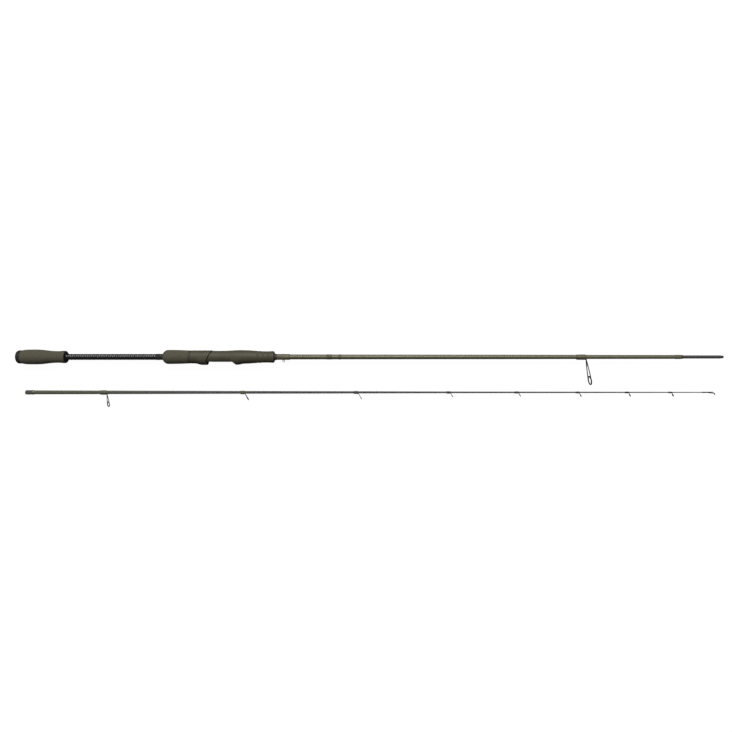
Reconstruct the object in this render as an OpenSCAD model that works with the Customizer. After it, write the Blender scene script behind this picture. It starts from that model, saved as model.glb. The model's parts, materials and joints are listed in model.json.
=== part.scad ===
// Two-piece spinning rod laid flat: the butt section with its handle and reel seat behind, the tip
// section in front of it. Both run along X from the butt towards the tip, and every guide and the
// reel seat face -Y. Millimetres, +Z up, origin at the middle of the base of the whole layout.

/* [Layout] */
// Distance between the axes of the two sections
section_gap = 63.8; // [60:0.1:90]
// How far the base of the tip section lies ahead of the butt end
tip_offset = 10.2; // [0:0.1:18]

/* [Rear grip] */
// Length of the domed butt cap
cap_len = 4.2; // [2:0.1:12]
// Outer radius of the butt cap
cap_r = 11.8; // [9:0.1:12.5]
// Depth of the plug on the cap that fills the end of the blank
cap_plug_len = 14; // [6:0.5:30]
// Width of the trim ring behind the rear grip
butt_ring_len = 4.2; // [2:0.1:8]
// Outer radius of the trim ring
butt_ring_r = 11.9; // [9:0.1:12.5]
// Length of the rear grip
rear_grip_len = 78.3; // [55:0.1:160]
// Radius of the rear grip at its fullest point
rear_grip_r = 13.35; // [12.9:0.05:16]
// Radius of the rear grip at its waist
rear_grip_waist_r = 10.5; // [8:0.1:12]
// Radius of the flare ahead of the waist
rear_grip_flare_r = 11.15; // [9:0.05:12.5]
// Length of the check that closes the front of the rear grip
rear_check_len = 2.3; // [2:0.1:9]
// Radius of that check where it meets the braided sleeve
rear_check_r = 5.9; // [5.4:0.1:8]

/* [Split handle] */
// Length of the braided sleeve that shows between the grips
sleeve_len = 159; // [90:1:260]
// Wall of the braided sleeve
sleeve_wall = 0.32; // [0.2:0.02:0.5]
// Length of the gloss collar ahead of the sleeve
collar_len = 14; // [8:0.1:16]
// Outer radius of the gloss collar
collar_r = 5.55; // [5.2:0.05:6]

/* [Reel seat] */
// Length of the foam sleeve on the locking nut
nut_grip_len = 45.7; // [44:0.1:70]
// Radius of the foam sleeve at its fullest point
nut_grip_r = 12.66; // [12:0.02:13]
// Radius of the foam sleeve where it meets its trim ring
nut_grip_front_r = 11.8; // [11.5:0.1:12.5]
// Thickness of the wall that closes the rear of the foam sleeve
nut_end_wall = 3.5; // [2:0.1:6]
// Width of the trim ring between the nut and the sliding hood
nut_ring_len = 2.3; // [1:0.1:4]
// Outer radius of that trim ring
nut_ring_r = 11.55; // [11:0.05:11.8]
// Wall of the threaded sleeve inside the nut
nut_wall = 0.95; // [0.7:0.05:1.1]
// Length of the sliding hood along its back
hood_len = 38.3; // [34:0.1:60]
// Outer radius of the sliding hood
hood_r = 11.8; // [11.6:0.05:12.6]
// How far the crown of the sliding hood stands out from the axis
hood_crown = 14.4; // [14:0.05:17]
// How far the travelling hood moves back from its closed place
hood_travel = 20; // [8:1:24]
// Slant of the joint between the sliding hood and the seat, in degrees from square
seat_slant = 27; // [10:1:35]
// Width of that slanted joint when the hood is closed
seat_joint_gap = 1.6; // [0.5:0.1:3]
// Outer radius of the threaded barrel
barrel_r = 9.2; // [9:0.05:9.5]
// Inner radius of the barrel
barrel_bore_r = 6.8; // [6:0.1:7.4]
// Pitch of the thread on the barrel
thread_pitch = 2; // [1.5:0.5:3]
// Depth of the thread on the barrel
thread_depth = 0.6; // [0.3:0.05:0.8]
// Distance from the axis to the platform that the reel foot rests on
platform_drop = 8.65; // [8.2:0.05:9]
// How far the pad on the platform stands above the floor of the pockets
pad_raise = 0.15; // [0.1:0.05:0.4]
// Length of the seat body ahead of the slanted joint, along its back
seat_len = 112; // [100:1:150]
// Radius of the seat at its fullest point, over the fixed hood
seat_r = 12.2; // [11.9:0.05:13]
// Radius of the seat at its waist, in front of the fixed hood
seat_waist_r = 10.1; // [8.5:0.1:11]
// How far the crown of the fixed hood stands out from the axis
fixed_crown = 14; // [13.8:0.05:17]
// Reach of the fixed hood from the front of the seat to its lip
fixed_hood_reach = 69.5; // [60:0.5:75]
// Height of the pockets in both hoods, above the platform
pocket_height = 4.35; // [4.2:0.05:5]
// Radius of the pockets
pocket_r = 10.4; // [9:0.1:10.6]
// Depth of the pocket in the sliding hood
hood_pocket_depth = 19.6; // [16:0.1:20]
// Length of the winding check ahead of the seat
front_check_len = 3.4; // [2:0.1:8]
// Radius of that winding check
front_check_r = 5.9; // [5.4:0.1:8]
// Length of each arbor between the blank and the barrel
arbor_len = 24; // [12:1:30]

/* [Hook keeper] */
// Length of the thread wrap that carries the hook keeper
fore_wrap_len = 24; // [18:0.5:40]
// Centre of the hook keeper ring ahead of the winding check
keeper_reach = 12.5; // [9:0.1:15]
// Radius of the keeper ring to the middle of its wire
keeper_ring_r = 1.9; // [1.6:0.05:2.2]
// Radius of the keeper ring's wire
keeper_wire_r = 0.42; // [0.3:0.02:0.5]

/* [Butt blank] */
// Length of the blank that shows ahead of the winding check, up to its end
fore_blank_len = 724.4; // [600:0.1:1000]
// Radius of the blank at the butt end
blank_butt_r = 4.62; // [4.5:0.02:4.8]
// Radius of the blank at its front end
blank_front_r = 3.48; // [3.42:0.02:3.9]
// Wall of the blank
blank_wall = 1.1; // [0.8:0.05:1.5]
// Distance from the winding check to the first trim band
band_reach = 88.8; // [40:0.1:200]
// Width of the first trim band
band_wide = 10; // [4:0.5:20]
// Clear space between the two trim bands
band_space = 12; // [4:0.5:40]
// Width of the second trim band
band_narrow = 5; // [3:0.5:12]
// Length of the thread wrap behind the end of the blank
ferrule_wrap_len = 11.2; // [6:0.1:40]

/* [Ferrule] */
// Length of the spigot ahead of the blank
spigot_reach = 75.5; // [60:0.5:110]
// Radius of the spigot
spigot_r = 2.9; // [2.6:0.02:2.94]
// Wall of the spigot
spigot_wall = 0.9; // [0.6:0.05:1.4]
// Depth of the spigot inside the blank
spigot_root = 62; // [40:1:90]
// Width of the ring that covers the root of the spigot
ferrule_check_len = 2.5; // [1:0.1:6]
// Length of the rounded plug in the end of the spigot
plug_len = 5; // [3:0.1:10]
// Radial clearance of the spigot in the tip section
ferrule_clearance = 0.05; // [0.02:0.01:0.1]
// Depth of the socket in the tip section
socket_depth = 70; // [50:1:90]

/* [Tip section] */
// Length of the tip blank, up to its end inside the tip-top
tip_blank_len = 1233.1; // [1200:0.1:1400]
// Radius of the tip blank at its base
tip_base_r = 3.58; // [3.5:0.02:4]
// Radius of the tip blank at its end
tip_end_r = 0.75; // [0.5:0.05:0.9]
// Length of the collar on the base of the tip section
tip_collar_len = 14.7; // [8:0.1:25]
// Outer radius of that collar
tip_collar_r = 3.95; // [3.9:0.05:4.6]
// Length of the hollow part of the tip blank, ahead of the socket
tip_hollow_len = 700; // [300:10:800]

/* [Guides] */
// Distance of the stripper guide's leg from the front end of the butt blank
stripper_reach = 170; // [120:1:300]
// How far the stripper guide's ring reaches from the axis
stripper_drop = 50.5; // [35:0.5:55]
// Outer radius of the stripper guide's loop
stripper_loop_r = 8.4; // [6:0.1:10]
// Radius of the stripper guide's wire
stripper_wire_r = 1; // [0.6:0.05:1.2]
// Length of the stripper guide's foot
stripper_foot = 17; // [10:0.5:25]
// Lean of the stripper guide towards the tip, in degrees
stripper_lean = 10; // [0:1:20]
// Distance of each running guide's leg from the base of the tip section
guide_x = [146.1, 395.6, 600.4, 766.9, 890, 999.6, 1088.8, 1166.5]; // [100:0.1:1200]
// How far each running guide reaches from the axis
guide_drop = [26.4, 14.1, 12.4, 9.1, 7.7, 8, 7.7, 7.8]; // [6:0.1:30]
// Outer radius of each running guide's loop
guide_loop_r = [4.9, 3.4, 2.9, 2.55, 2.35, 2.35, 2.35, 2.35]; // [2:0.05:6]
// Radius of each running guide's wire
guide_wire_r = [0.75, 0.6, 0.55, 0.5, 0.5, 0.5, 0.5, 0.5]; // [0.3:0.05:0.9]
// Lean of each running guide towards the tip, in degrees
guide_lean = [8, 30, 30, 30, 28, 26, 24, 22]; // [0:1:35]
// Length of each running guide's foot
guide_foot = [11.5, 8, 8, 7.5, 7.5, 6.5, 6.5, 6.5]; // [5:0.5:15]
// Wall of the smallest rings, which grows a little with the loop
ring_wall = 0.35; // [0.25:0.05:0.6]
// Thickness of the thread wraps
wrap_t = 0.32; // [0.2:0.02:0.5]
// Length of the tube of the tip-top
tip_top_tube = 21.5; // [12:0.5:30]
// Radius of the tube of the tip-top
tip_top_r = 1.05; // [0.95:0.05:1.3]
// Outer radius of the tip-top's loop
tip_top_loop_r = 2.1; // [1.8:0.05:3]
// Lean of the tip-top's loop, in degrees
tip_top_lean = 25; // [0:1:40]

/* [Hidden] */
RUNNING = ["guide_1", "guide_2", "guide_3", "guide_4", "guide_5", "guide_6", "guide_7", "guide_8"];
$fn = 96;

foam = [0.31, 0.29, 0.25];
olive = [0.38, 0.38, 0.30];
black = [0.07, 0.07, 0.07];
graphite = [0.28, 0.28, 0.27];
steel = [0.75, 0.75, 0.75];
eps = 0.01;
big = 60;
run_fit = 0.05;
side_fit = 0.3;
end_fit = 0.15;
wrap_edge = 0.08;
knuckle = 1.4;
apex_lift = 0.9;
foot_lift = 0.6;
leg_share = 0.82;
leg_spread = 0.86;

// Stations along the butt section, from its rear end
ring_x = cap_len;
grip_x = ring_x + butt_ring_len;
rear_check_x = grip_x + rear_grip_len;
sleeve_x = rear_check_x + rear_check_len;
collar_x = sleeve_x + sleeve_len;
nut_x = collar_x + collar_len + end_fit;
nut_front_x = nut_x + nut_grip_len;
hood_x = nut_front_x + nut_ring_len + end_fit;
hood_front_x = hood_x + hood_len;
seat_front_x = hood_front_x + seat_len;
check_end_x = seat_front_x + front_check_len;
blank_end_x = check_end_x + fore_blank_len;
butt_len = blank_end_x + spigot_reach;
stripper_x = blank_end_x - stripper_reach;

// Taper of the two blanks: distance from the section's own base, and radius
BUTT_TAPER = [
  [0, blank_butt_r],
  [check_end_x, blank_butt_r - 0.08],
  [check_end_x + 150, blank_butt_r - 0.32],
  [blank_end_x - 317, blank_front_r + 0.58],
  [blank_end_x - 145, blank_front_r + 0.19],
  [blank_end_x, blank_front_r]
];
SLEEVE_TAPER = [for (p = BUTT_TAPER) [p[0], p[1] + sleeve_wall]];
TIP_TAPER = [
  [0, tip_base_r],
  [150, tip_base_r - 0.37],
  [tip_blank_len - 870, 2.56],
  [tip_blank_len - 620, 1.97],
  [tip_blank_len - 445, 1.5],
  [tip_blank_len - 222, 1.2],
  [tip_blank_len, tip_end_r]
];

// Heights of the two axes above the surface that the rod lies on
butt_z = max(rear_grip_r, nut_grip_r);
tip_z = max(guide_loop_r[0], tip_collar_r);
tip_top_x = tip_blank_len - tip_top_tube + 8;
tip_len = tip_top_x + tip_top_tube + 5;

function wire_of_loop(loop_r, wire_r) = loop_r - wire_r;
function reach_of(loop_r, wire_r, lean) = wire_of_loop(loop_r, wire_r) * cos(lean) + wire_r;

low_y = -max(section_gap + max(guide_drop), stripper_drop, hood_crown);
high_y = max(rear_grip_r, nut_grip_r);
high_x = max(butt_len, tip_offset + tip_len);

// Places a sub-part of the butt section in the row's frame
module butt_frame() translate([-high_x / 2, -(low_y + high_y) / 2, butt_z]) children();

// Places a sub-part of the tip section in the row's frame
module tip_frame()
  translate([tip_offset - high_x / 2, -section_gap - (low_y + high_y) / 2, tip_z]) children();

// A body turned about the X axis from points that give radius and station
module turned(points) rotate([0, 90, 0]) rotate_extrude() polygon(points);

// A straight round bar along X
module bar(x, r, length, y = 0) translate([x, y, 0]) rotate([0, 90, 0]) cylinder(r = r, h = length);

// A round rod between two points
module rod(a, b, r) {
  v = b - a;
  translate(a) rotate([0, acos(v[2] / norm(v)), atan2(v[1], v[0])]) cylinder(r = r, h = norm(v));
}

function stations(table, a, b) = concat([a], [for (p = table) if (p[0] > a && p[0] < b) p[0]], [b]);
function on_taper(table, a, b) = [for (s = stations(table, a, b)) [lookup(s, table), s]];
function backwards(points) = [for (i = [len(points) - 1:-1:0]) [points[i][1], points[i][0]]];

// A piece that fits a tapered blank inside and has its own outline outside, as station and radius
module on_blank(table, outline)
  turned(concat(on_taper(table, outline[0][0], outline[len(outline) - 1][0]), backwards(outline)));

// The blank as a solid with no bore, for cutting what sits on it
module solid_blank(table, a, b) turned(concat([[0, a]], on_taper(table, a, b), [[0, b]]));

function wrap_outline(table, a, b, t) = concat(
  [[a, lookup(a, table) + wrap_edge]],
  [for (p = on_taper(table, a + 0.8, b - 0.8)) [p[1], p[0] + t]],
  [[b, lookup(b, table) + wrap_edge]]
);

// ---- Rear grip and split handle ----

module butt_cap() butt_frame() color(black)
  union() {
    turned([[0, 0], [cap_r - 4.5, 0], [cap_r - 1.8, 0.7], [cap_r - 0.4, 2.2], [cap_r, cap_len], [0, cap_len]]);
    bar(cap_len - eps, blank_butt_r - blank_wall, cap_plug_len);
  }

module butt_ring() butt_frame() color(graphite)
  on_blank(BUTT_TAPER, [
    [ring_x, butt_ring_r - 0.3], [ring_x + 0.3, butt_ring_r],
    [grip_x - 1.5, butt_ring_r], [grip_x - 1.2, butt_ring_r - 0.5], [grip_x, butt_ring_r - 0.5]
  ]);

module rear_grip() butt_frame() color(foam)
  on_blank(BUTT_TAPER, [
    [grip_x, 11.7], [grip_x + 0.03 * rear_grip_len, 12.4],
    [grip_x + 0.11 * rear_grip_len, rear_grip_r - 0.3], [grip_x + 0.22 * rear_grip_len, rear_grip_r - 0.06],
    [grip_x + 0.32 * rear_grip_len, rear_grip_r], [grip_x + 0.42 * rear_grip_len, rear_grip_r - 0.25],
    [grip_x + 0.54 * rear_grip_len, 12.3], [grip_x + 0.67 * rear_grip_len, 11.1],
    [grip_x + 0.78 * rear_grip_len, rear_grip_waist_r + 0.1],
    [grip_x + 0.84 * rear_grip_len, rear_grip_waist_r],
    [grip_x + 0.96 * rear_grip_len, rear_grip_flare_r], [rear_check_x, rear_grip_flare_r - 0.25]
  ]);

module rear_grip_check() butt_frame() color(black)
  on_blank(BUTT_TAPER, [
    [rear_check_x, rear_grip_flare_r - 0.6], [rear_check_x + 0.3 * rear_check_len, rear_grip_flare_r - 1.4],
    [sleeve_x - 0.8, rear_check_r], [sleeve_x, rear_check_r]
  ]);

module braided_sleeve() butt_frame() color(black)
  on_blank(BUTT_TAPER, [
    [sleeve_x, lookup(sleeve_x, SLEEVE_TAPER)], [collar_x, lookup(collar_x, SLEEVE_TAPER)]
  ]);

module handle_collar() butt_frame() color(black)
  on_blank(BUTT_TAPER, [
    [collar_x, collar_r - 0.3], [collar_x + 0.3, collar_r],
    [collar_x + 0.45 * collar_len, collar_r], [collar_x + 0.47 * collar_len, collar_r - 0.25],
    [collar_x + 0.53 * collar_len, collar_r - 0.25], [collar_x + 0.55 * collar_len, collar_r],
    [collar_x + collar_len, collar_r]
  ]);

// ---- Reel seat ----

barrel_x = nut_x + nut_end_wall + 1;
nut_bore_r = barrel_r + run_fit;
nut_out_r = nut_bore_r + nut_wall;
flange_r = nut_out_r + 0.5;
flange_x = hood_x + 1.8 + end_fit;
flange_len = 1.8;
hood_pocket_x = hood_front_x - hood_pocket_depth;
crown_shift = hood_crown - hood_r;
swell_x = hood_x + 9;
swell_len = 14;
lip_x = seat_front_x - fixed_hood_reach;
lip_root_x = lip_x - 5.5;
barrel_front_x = hood_front_x + 1;
pad_x = barrel_front_x + 1;
key_w = 3;
key_depth = 1;

module nut_grip() butt_frame() color(foam)
  turned([
    [collar_r + 0.35, nut_x], [collar_r + 0.35, nut_x + nut_end_wall],
    [nut_out_r, nut_x + nut_end_wall], [nut_out_r, nut_front_x],
    [nut_grip_front_r, nut_front_x], [nut_grip_front_r + 0.05, nut_front_x - 2],
    [nut_grip_r - 0.3, nut_x + 0.6 * nut_grip_len], [nut_grip_r - 0.05, nut_x + 0.3 * nut_grip_len],
    [nut_grip_r, nut_x + 7], [nut_grip_r - 0.5, nut_x + 4], [nut_grip_r - 1.6, nut_x + 2],
    [nut_grip_r - 3.4, nut_x + 0.6], [nut_grip_r - 4.6, nut_x]
  ]);

module nut_ring() butt_frame() color(black)
  turned([
    [nut_out_r, nut_front_x], [nut_out_r, nut_front_x + nut_ring_len],
    [nut_ring_r - 0.2, nut_front_x + nut_ring_len], [nut_ring_r, nut_front_x + nut_ring_len - 0.3],
    [nut_ring_r, nut_front_x + 0.3], [nut_ring_r - 0.2, nut_front_x]
  ]);

module lock_nut() butt_frame() color(black)
  turned([
    [nut_bore_r, nut_x + nut_end_wall], [nut_bore_r, flange_x + flange_len],
    [flange_r, flange_x + flange_len], [flange_r, flange_x],
    [nut_out_r, flange_x], [nut_out_r, nut_x + nut_end_wall]
  ]);

// Half-space ahead of the slanted joint, moved forward by ahead
module slant_front(ahead)
  translate([hood_front_x + ahead, hood_r, -big]) rotate([0, 0, -seat_slant]) translate([0, -2 * big, 0])
    cube([2 * big, 4 * big, 2 * big]);

// The space for the rear or front end of a reel foot, between two stations
module foot_pocket(a, b, height)
  intersection() {
    bar(a, pocket_r, b - a, -(platform_drop + height - pocket_r));
    translate([a, -big - platform_drop, -big]) cube([b - a, big, 2 * big]);
  }

// Station of the mouth of the sliding hood's foot pocket
mouth_x = hood_front_x - 8.5;

// Outside of the sliding hood: round at the rear, then swelling to the crown over the foot pocket
module hood_shell() {
  turned([
    [0, hood_x], [hood_r - 0.5, hood_x], [hood_r - 0.1, hood_x + 1],
    [hood_r - 0.1, swell_x + 1], [0, swell_x + 1]
  ]);
  intersection() {
    translate([swell_x, 0, 0]) rotate([0, 90, 0]) linear_extrude(hood_len) {
      circle(r = hood_r);
      translate([0, -crown_shift]) circle(r = hood_r);
      translate([-hood_r, -crown_shift]) square([2 * hood_r, crown_shift]);
    }
    translate([0, 0, -big]) linear_extrude(2 * big) polygon([
      [swell_x - 1, -hood_r], [swell_x + swell_len, -hood_crown - 1], [mouth_x, -hood_crown - 1],
      [mouth_x, -platform_drop], [hood_front_x + 1, -platform_drop], [hood_front_x + 1, big],
      [swell_x - 1, big]
    ]);
  }
}

module sliding_hood() butt_frame() color(foam)
  difference() {
    hood_shell();
    // slanted front, square again below the platform
    difference() {
      slant_front(0);
      translate([0, -big - platform_drop, -big]) cube([hood_front_x + 2 * big, big, 2 * big]);
    }
    // bore on the barrel, with a key left in it
    difference() {
      bar(flange_x - eps, nut_bore_r + 0.03, big + hood_len);
      translate([hood_x + 8, barrel_r - key_depth + 0.25, -key_w / 2 + 0.15])
        cube([8, key_depth + 1, key_w - 0.3]);
    }
    // clearance around the nut, and the groove that holds its flange
    bar(hood_x - eps, nut_out_r + side_fit, 2);
    bar(flange_x - end_fit, flange_r + side_fit, flange_len + 2 * end_fit);
    foot_pocket(hood_pocket_x, hood_front_x + 5, pocket_height);
    foot_pocket(hood_pocket_x - 7, hood_front_x, pocket_height - 1.9);
  }

thread_x0 = barrel_x + 3;
thread_x1 = hood_front_x - 12;
thread_turns = floor((thread_x1 - thread_x0) / thread_pitch);
barrel_outline = concat(
  [[barrel_x, barrel_r - thread_depth], [thread_x0, barrel_r - thread_depth]],
  [for (i = [0:thread_turns - 1], q = [[0.15, 1], [0.4, 1], [0.6, 0], [0.95, 0]])
    [thread_x0 + (i + q[0]) * thread_pitch, barrel_r - thread_depth * (1 - q[1])]]
);

module seat_shell() {
  back_x = hood_front_x - 14;
  turned([
    [0, back_x], [11.5, back_x], [11.4, hood_front_x - 4.5], [10.9, hood_front_x + 11.5],
    [seat_r - 0.7, lip_x - 9], [seat_r - 0.05, lip_x + 4], [seat_r, lip_x + 9], [seat_r - 0.1, lip_x + 14],
    [seat_r - 0.9, lip_x + 33], [seat_waist_r + 0.2, lip_x + 50], [seat_waist_r, lip_x + 54.5],
    [seat_waist_r + 0.4, seat_front_x - 4], [seat_waist_r + 0.1, seat_front_x - 1.5],
    [front_check_r + 0.3, seat_front_x], [0, seat_front_x]
  ]);
  // crown of the fixed hood
  hull() {
    $fn = 48;
    bar(lip_x - 6, seat_r - 0.5, 8);
    bar(lip_x - 6, seat_r - 0.5, 7, -(fixed_crown - seat_r + 0.5));
    bar(lip_x + 14, seat_r - 0.15, 1);
  }
}

module reel_seat() butt_frame() color(foam)
  difference() {
    union() {
      difference() {
        seat_shell();
        // slanted rear face
        difference() {
          translate([hood_front_x - 40, -big, -big]) cube([60, 2 * big, 2 * big]);
          slant_front(seat_joint_gap);
        }
        // platform and the slanted lip of the fixed hood
        translate([0, -big - platform_drop, -big]) cube([lip_root_x, big, 2 * big]);
        translate([lip_root_x, -platform_drop, -big]) rotate([0, 0, 48]) translate([-big, -big, 0])
          cube([big, big, 2 * big]);
        foot_pocket(lip_x - 9, lip_x + 3, pocket_height);
        foot_pocket(lip_x - 9, lip_x + 11, pocket_height - 1.9);
      }
      // threaded barrel under the nut and the sliding hood
      turned(concat([[0, barrel_x]], [for (p = barrel_outline) [p[1], p[0]]],
        [[barrel_r, thread_x1], [barrel_r, barrel_front_x], [0, barrel_front_x]]));
      // pad on the platform
      translate([pad_x, -platform_drop - pad_raise, -5]) cube([lip_x - 9 - pad_x, 1, 10]);
    }
    bar(barrel_x - eps, barrel_bore_r, seat_front_x - barrel_x + 1);
    // flat of the platform carried through the thread
    translate([0, -big - platform_drop, -big]) cube([barrel_front_x + 0.5, big, 2 * big]);
    // keyway on the back of the barrel
    translate([barrel_x - eps, barrel_r - key_depth, -key_w / 2]) cube([hood_front_x - barrel_x - 2, 5, key_w]);
  }

// An arbor on the blank inside the barrel, from station x
module arbor(x) butt_frame() color([0.8, 0.78, 0.7])
  on_blank(BUTT_TAPER, [[x, barrel_bore_r], [x + arbor_len, barrel_bore_r]]);

module seat_arbor_rear() arbor(barrel_x + 2);
module seat_arbor_middle() arbor((barrel_x + seat_front_x - arbor_len) / 2);
module seat_arbor_front() arbor(seat_front_x - arbor_len - 2);

module front_check() butt_frame() color(black)
  on_blank(BUTT_TAPER, [
    [seat_front_x, front_check_r - 0.1], [seat_front_x + 0.5, front_check_r],
    [check_end_x - 0.8, front_check_r - 0.1], [check_end_x, front_check_r - 0.6]
  ]);

// ---- Hook keeper ----

fore_wrap_t = 0.75;
keeper_x = check_end_x + keeper_reach;
keeper_eye_r = keeper_wire_r + 0.17;
keeper_tube_r = keeper_eye_r + 0.4;
keeper_y = -(lookup(keeper_x, BUTT_TAPER) + keeper_tube_r - 0.08);
keeper_notch = [3.6, 10, 2.8];

module keeper_foot_shape()
  difference() {
    union() {
      bar(keeper_x - 0.55, keeper_tube_r, 1.1, keeper_y);
      translate([keeper_x - 6, -lookup(keeper_x, BUTT_TAPER) - 0.45, -0.7]) cube([12, 0.9, 1.4]);
    }
    bar(keeper_x - 2, keeper_eye_r, 4, keeper_y);
    solid_blank(BUTT_TAPER, keeper_x - 10, keeper_x + 10);
  }

module hook_keeper_foot() butt_frame() color(steel) keeper_foot_shape();

module hook_keeper_ring() butt_frame() color(steel)
  translate([keeper_x, keeper_y - keeper_ring_r, 0])
    rotate_extrude() translate([keeper_ring_r, 0]) circle(r = keeper_wire_r);

module fore_wrap() butt_frame() color(olive)
  difference() {
    on_blank(BUTT_TAPER, wrap_outline(BUTT_TAPER, check_end_x, check_end_x + fore_wrap_len, fore_wrap_t));
    keeper_foot_shape();
    // room for the ring where it passes through its eye
    translate([keeper_x, -lookup(keeper_x, BUTT_TAPER) - keeper_notch[1] / 2, 0])
      cube(keeper_notch, center = true);
  }

// ---- Blanks and ferrule ----

spigot_x0 = blank_end_x - spigot_root;
spigot_root_r = spigot_r - 0.4;

module butt_blank() butt_frame() color(olive)
  turned(concat(
    on_taper(BUTT_TAPER, cap_len, blank_end_x),
    [[spigot_root_r, blank_end_x], [spigot_root_r, spigot_x0],
     [lookup(spigot_x0 - 20, BUTT_TAPER) - blank_wall, spigot_x0],
     [lookup(check_end_x, BUTT_TAPER) - blank_wall, check_end_x],
     [blank_butt_r - blank_wall, cap_len + cap_plug_len], [blank_butt_r - blank_wall, cap_len]]
  ));

// A trim band on the butt blank from station x
module band(x, width) butt_frame() color(black)
  on_blank(BUTT_TAPER, wrap_outline(BUTT_TAPER, x, x + width, 0.25));

module trim_band_wide() band(check_end_x + band_reach, band_wide);
module trim_band_narrow() band(check_end_x + band_reach + band_wide + band_space, band_narrow);

module ferrule_wrap() butt_frame() color(olive)
  on_blank(BUTT_TAPER, wrap_outline(BUTT_TAPER, blank_end_x - ferrule_wrap_len, blank_end_x, wrap_t));

module ferrule_check() butt_frame() color(black)
  turned([
    [spigot_root_r, blank_end_x], [spigot_root_r, blank_end_x + ferrule_check_len],
    [blank_front_r - 0.25, blank_end_x + ferrule_check_len],
    [blank_front_r + 0.1, blank_end_x + ferrule_check_len - 0.4], [blank_front_r + 0.1, blank_end_x]
  ]);

module spigot() butt_frame() color(black)
  turned([
    [spigot_r - spigot_wall, spigot_x0], [spigot_root_r, spigot_x0],
    [spigot_root_r, blank_end_x + ferrule_check_len], [spigot_r, blank_end_x + ferrule_check_len],
    [spigot_r, butt_len - plug_len], [spigot_r - spigot_wall, butt_len - plug_len]
  ]);

module spigot_plug() butt_frame() color(black)
  turned([
    [0, butt_len - 2 * plug_len], [spigot_r - spigot_wall, butt_len - 2 * plug_len],
    [spigot_r - spigot_wall, butt_len - plug_len], [spigot_root_r - 0.2, butt_len - plug_len],
    [spigot_root_r - 0.2, butt_len - plug_len + 0.6], [spigot_root_r, butt_len - plug_len + 1],
    [spigot_root_r, butt_len - 1.2], [spigot_r - 0.7, butt_len - 0.4], [spigot_r - 1.4, butt_len], [0, butt_len]
  ]);

socket_r = spigot_r + ferrule_clearance;
tip_inner_r = 0.35;

module tip_blank() tip_frame() color(olive)
  turned(concat(
    on_taper(TIP_TAPER, 0, tip_blank_len),
    [[0, tip_blank_len], [0, socket_depth + tip_hollow_len], [tip_inner_r, socket_depth + tip_hollow_len],
     [socket_r - 0.5, socket_depth], [socket_r, socket_depth], [socket_r, 0]]
  ));

module ferrule_collar() tip_frame() color(graphite)
  on_blank(TIP_TAPER, [
    [0, tip_collar_r - 0.25], [0.8, tip_collar_r], [tip_collar_len - 1, tip_collar_r],
    [tip_collar_len, lookup(tip_collar_len, TIP_TAPER) + wrap_edge]
  ]);

// ---- Guides ----

// Centre of a guide's loop, measured from the axis at its leg
function loop_drop(drop, loop_r, wire_r, lean) = drop - reach_of(loop_r, wire_r, lean);
function apex_drop(base_r, wire_r) = base_r + apex_lift * wire_r;

// The flat foot of a guide, with the knuckle that its legs leave from
module foot_shape(apex, wire_r, foot) {
  top_y = apex[1] + (apex_lift - foot_lift) * wire_r;
  translate([apex[0] - foot, top_y, -0.8 * wire_r]) cube([foot, -top_y, 1.6 * wire_r]);
  translate(apex) sphere(r = knuckle * wire_r);
}

// A guide frame: a foot on the blank, two legs and a loop that leans towards the tip
module frame_shape(table, x, drop, loop_r, wire_r, foot, lean) {
  apex = [x, -apex_drop(lookup(x, table), wire_r), 0];
  centre_y = -loop_drop(drop, loop_r, wire_r, lean);
  centre = [x + (apex[1] - centre_y) * tan(lean), centre_y, 0];
  away = [sin(lean), -cos(lean), 0];
  ring_r = wire_of_loop(loop_r, wire_r);
  spread = leg_spread * acos(ring_r / norm(centre - apex));
  difference() {
    union() {
      foot_shape(apex, wire_r, foot);
      for (side = [-1, 1])
        rod(apex, centre + ring_r * [-cos(spread) * away[0], -cos(spread) * away[1], side * sin(spread)],
          leg_share * wire_r);
      translate(centre) rotate([0, 90, lean]) rotate_extrude() translate([ring_r, 0]) circle(r = wire_r);
    }
    solid_blank(table, x - foot - 2, x + 4 * wire_r);
    translate(centre) rotate([0, 90, lean])
      cylinder(r = ring_outer(loop_r, wire_r), h = 6 * wire_r, center = true);
  }
}

function ring_outer(loop_r, wire_r) = loop_r - 1.1 * wire_r;
function ring_bore(loop_r, wire_r) = ring_outer(loop_r, wire_r) - ring_wall - 0.08 * loop_r;

// A polished ring in a loop, drawn about its own centre with its bore along X
module ring_shape(loop_r, wire_r) {
  out_r = ring_outer(loop_r, wire_r);
  bore_r = ring_bore(loop_r, wire_r);
  half = 0.75 * wire_r;
  turned([
    [bore_r, -half / 2], [bore_r + half / 2, -half], [out_r, -half],
    [out_r, half], [bore_r + half / 2, half], [bore_r, half / 2]
  ]);
}

// The ring of a guide, in its section's frame
module guide_ring(table, x, drop, loop_r, wire_r, lean) {
  centre_y = -loop_drop(drop, loop_r, wire_r, lean);
  centre_x = x + (-apex_drop(lookup(x, table), wire_r) - centre_y) * tan(lean);
  translate([centre_x, centre_y, 0]) rotate([0, 0, lean]) ring_shape(loop_r, wire_r);
}

// The thread wrap over a guide's foot, filled to the axis before the blank and the foot are cut out
module guide_wrap(table, x, wire_r, foot) {
  front_x = x - (knuckle + 0.1) * wire_r;
  rear_x = x - foot - 1.5;
  outline = wrap_outline(table, rear_x, front_x, max(wrap_t, foot_lift * wire_r + 0.12));
  difference() {
    turned(concat([[0, rear_x]], [for (p = outline) [p[1], p[0]]], [[0, front_x]]));
    solid_blank(table, rear_x - 2, x + 2);
    foot_shape([x, -apex_drop(lookup(x, table), wire_r), 0], wire_r, foot);
  }
}

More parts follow.
